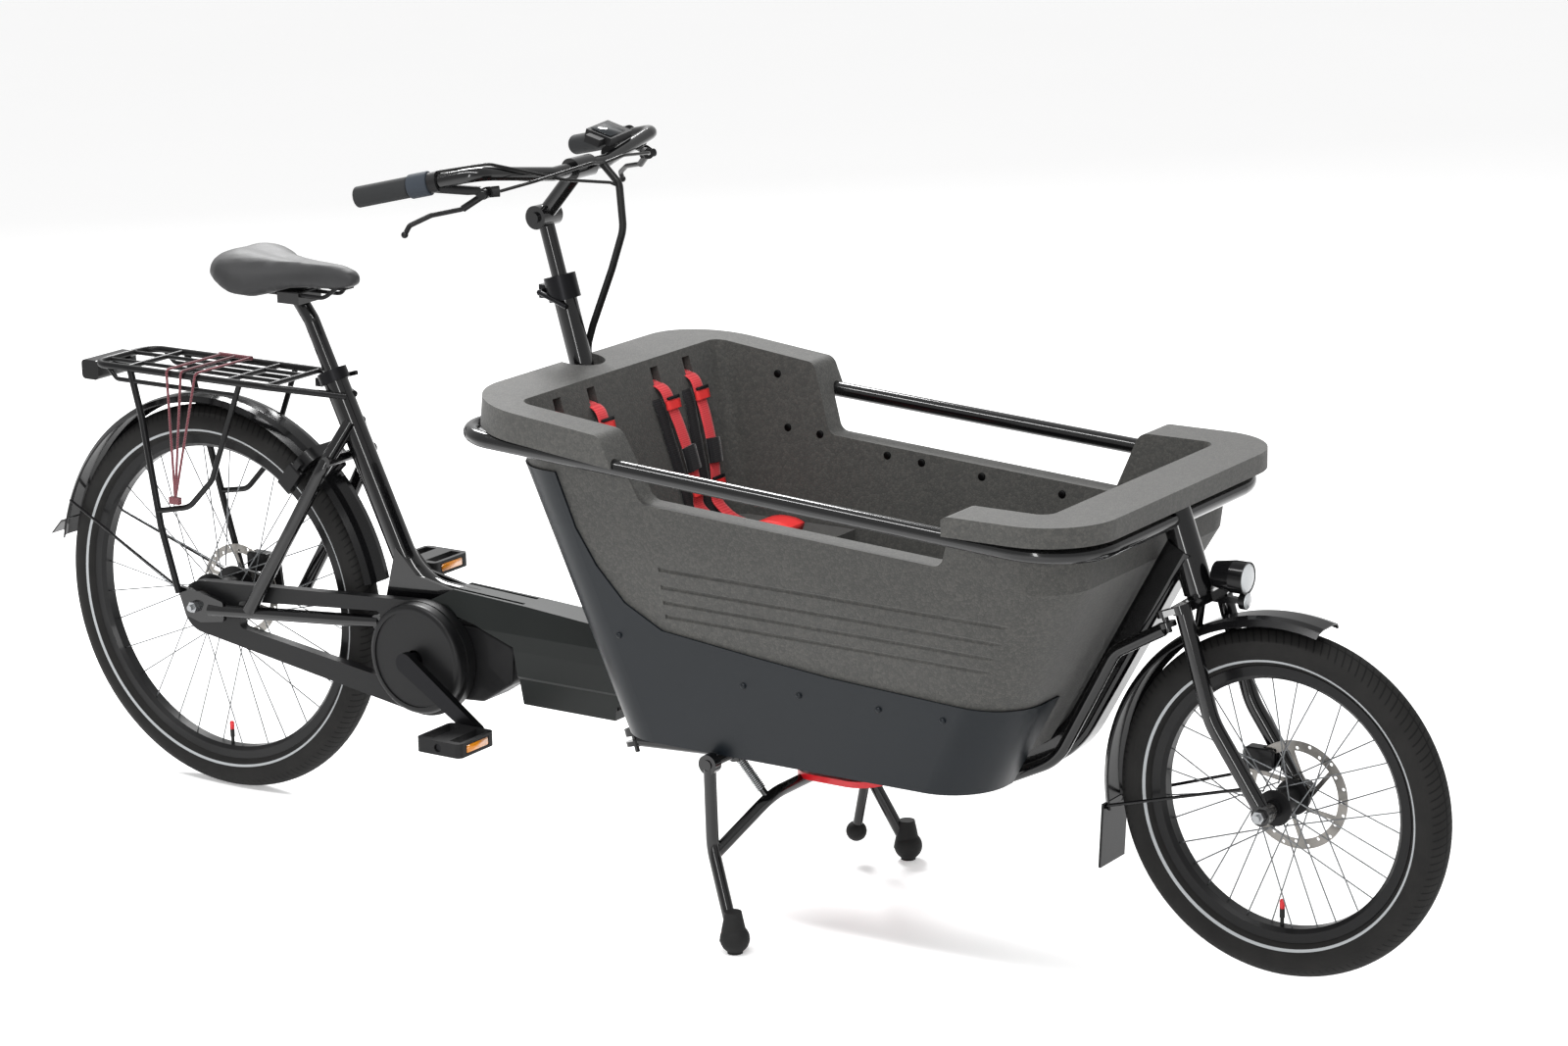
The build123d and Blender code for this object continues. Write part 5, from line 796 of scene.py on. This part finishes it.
# %% Display glass, valve caps and wall bolts
screen, tree, shader, place = start_finish("display_glass", {
    "Roughness": 0.1, "IOR": 1.5, "Coat Weight": 0.6})
smear = add_node(tree, "ShaderNodeTexNoise", {"Scale": 40.0, "Detail": 3.0}, {"Vector": place})
dim = add_node(tree, "ShaderNodeMix", {"data_type": "RGBA", 6: chip("#0c0f12"), 7: chip("#1d2429")},
               {0: smear.outputs["Fac"]})
tree.links.new(dim.outputs[2], shader.inputs["Base Color"])
display_tilt = (0, 18, 8)
spin = Euler([math.radians(a) for a in display_tilt]).to_matrix()
glass_at = Vector((0.757, 0.118, 1.172)) + spin @ Vector((0, 0, 0.0068))
pillow("display_screen", glass_at, (0.036, 0.060, 0.0014), screen, "handlebar_assembly",
       display_tilt)
cap_profile = [(0.0028, 0.0), (0.0042, 0.001), (0.0042, 0.012), (0.003, 0.015), (0.001, 0.0155)]
valve_reach = 0.040
for which, axle, bead in (("rear", rear_axle, 0.559 / 2), ("front", front_axle, 0.406 / 2)):
    corners, faces = turned(cap_profile, (axle[0], 0, axle[2] - bead + valve_reach), (0, 0, 1), 16)
    new_piece(which + "_valve_cap", corners, faces, red_coat, which + "_wheel")
bolt_coat, tree, shader, place = start_finish("black_zinc_bolts", {
    "Metallic": 0.8, "Base Color": chip("#0a0a0b")})
tarnish = add_node(tree, "ShaderNodeTexNoise", {"Scale": 900.0, "Detail": 2.0}, {"Vector": place})
dull = add_node(tree, "ShaderNodeMapRange", {"To Min": 0.35, "To Max": 0.6},
                {"Value": tarnish.outputs["Fac"]})
tree.links.new(dull.outputs["Result"], shader.inputs["Roughness"])
wall_slope = 0.2
bolt_places = ((0.977, 0.778), (1.006, 0.696), (1.068, 0.692), (1.197, 0.673), (1.261, 0.669), (1.372, 0.660),
               (1.517, 0.650))
bolt_head = [(0.0065, -0.001), (0.0065, 0.0012), (0.005, 0.0022), (0.002, 0.0026)]
for number, (x, z) in enumerate(bolt_places):
    for side, way in (("right", -1), ("left", 1)):
        wall = way * (0.200 + wall_slope * (z - 0.300) - 0.038)
        corners, faces = turned(bolt_head, (x, wall, z), (0, -way, 0), 18)
        new_piece(f"wall_bolt_{number}_{side}", corners, faces, bolt_coat, "frame")
print("wall bolts:", 2 * len(bolt_places))

# %% [markdown]
# ## Stand spring
# A steel spring pulls the stand up. It is wound from 2 mm wire over the rod beside the leg, so here a wire
# follows a helix round that rod, with zinc plating.

# %% Wound spring
top, foot = Vector((1.159, -0.150, 0.283)), Vector((1.212, -0.140, 0.214))
along = (foot - top).normalized()
side_way = along.orthogonal().normalized()
other_way = along.cross(side_way)
coil = bpy.data.curves.new("stand_spring", "CURVE")
coil.dimensions = "3D"
coil.bevel_depth = 0.0011
coil.bevel_resolution = 3
wound = coil.splines.new("NURBS")
turns = 17
steps = 12
coil_start = 0.014
coil_length = 0.055
coil_reach = 0.0069
wound.points.add(turns * steps)
for k in range(turns * steps + 1):
    a = 2 * math.pi * k / steps
    centre = top + along * (coil_start + coil_length * k / (turns * steps))
    spot = centre + (side_way * math.cos(a) + other_way * math.sin(a)) * coil_reach
    wound.points[k].co = (*spot, 1)
wound.use_endpoint_u = True
wound.order_u = 3
coil.materials.append(axle_steel)
spring = bpy.data.objects.new("stand_spring", coil)
bpy.context.collection.objects.link(spring)
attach(spring, "stand")
print("spring turns:", turns)
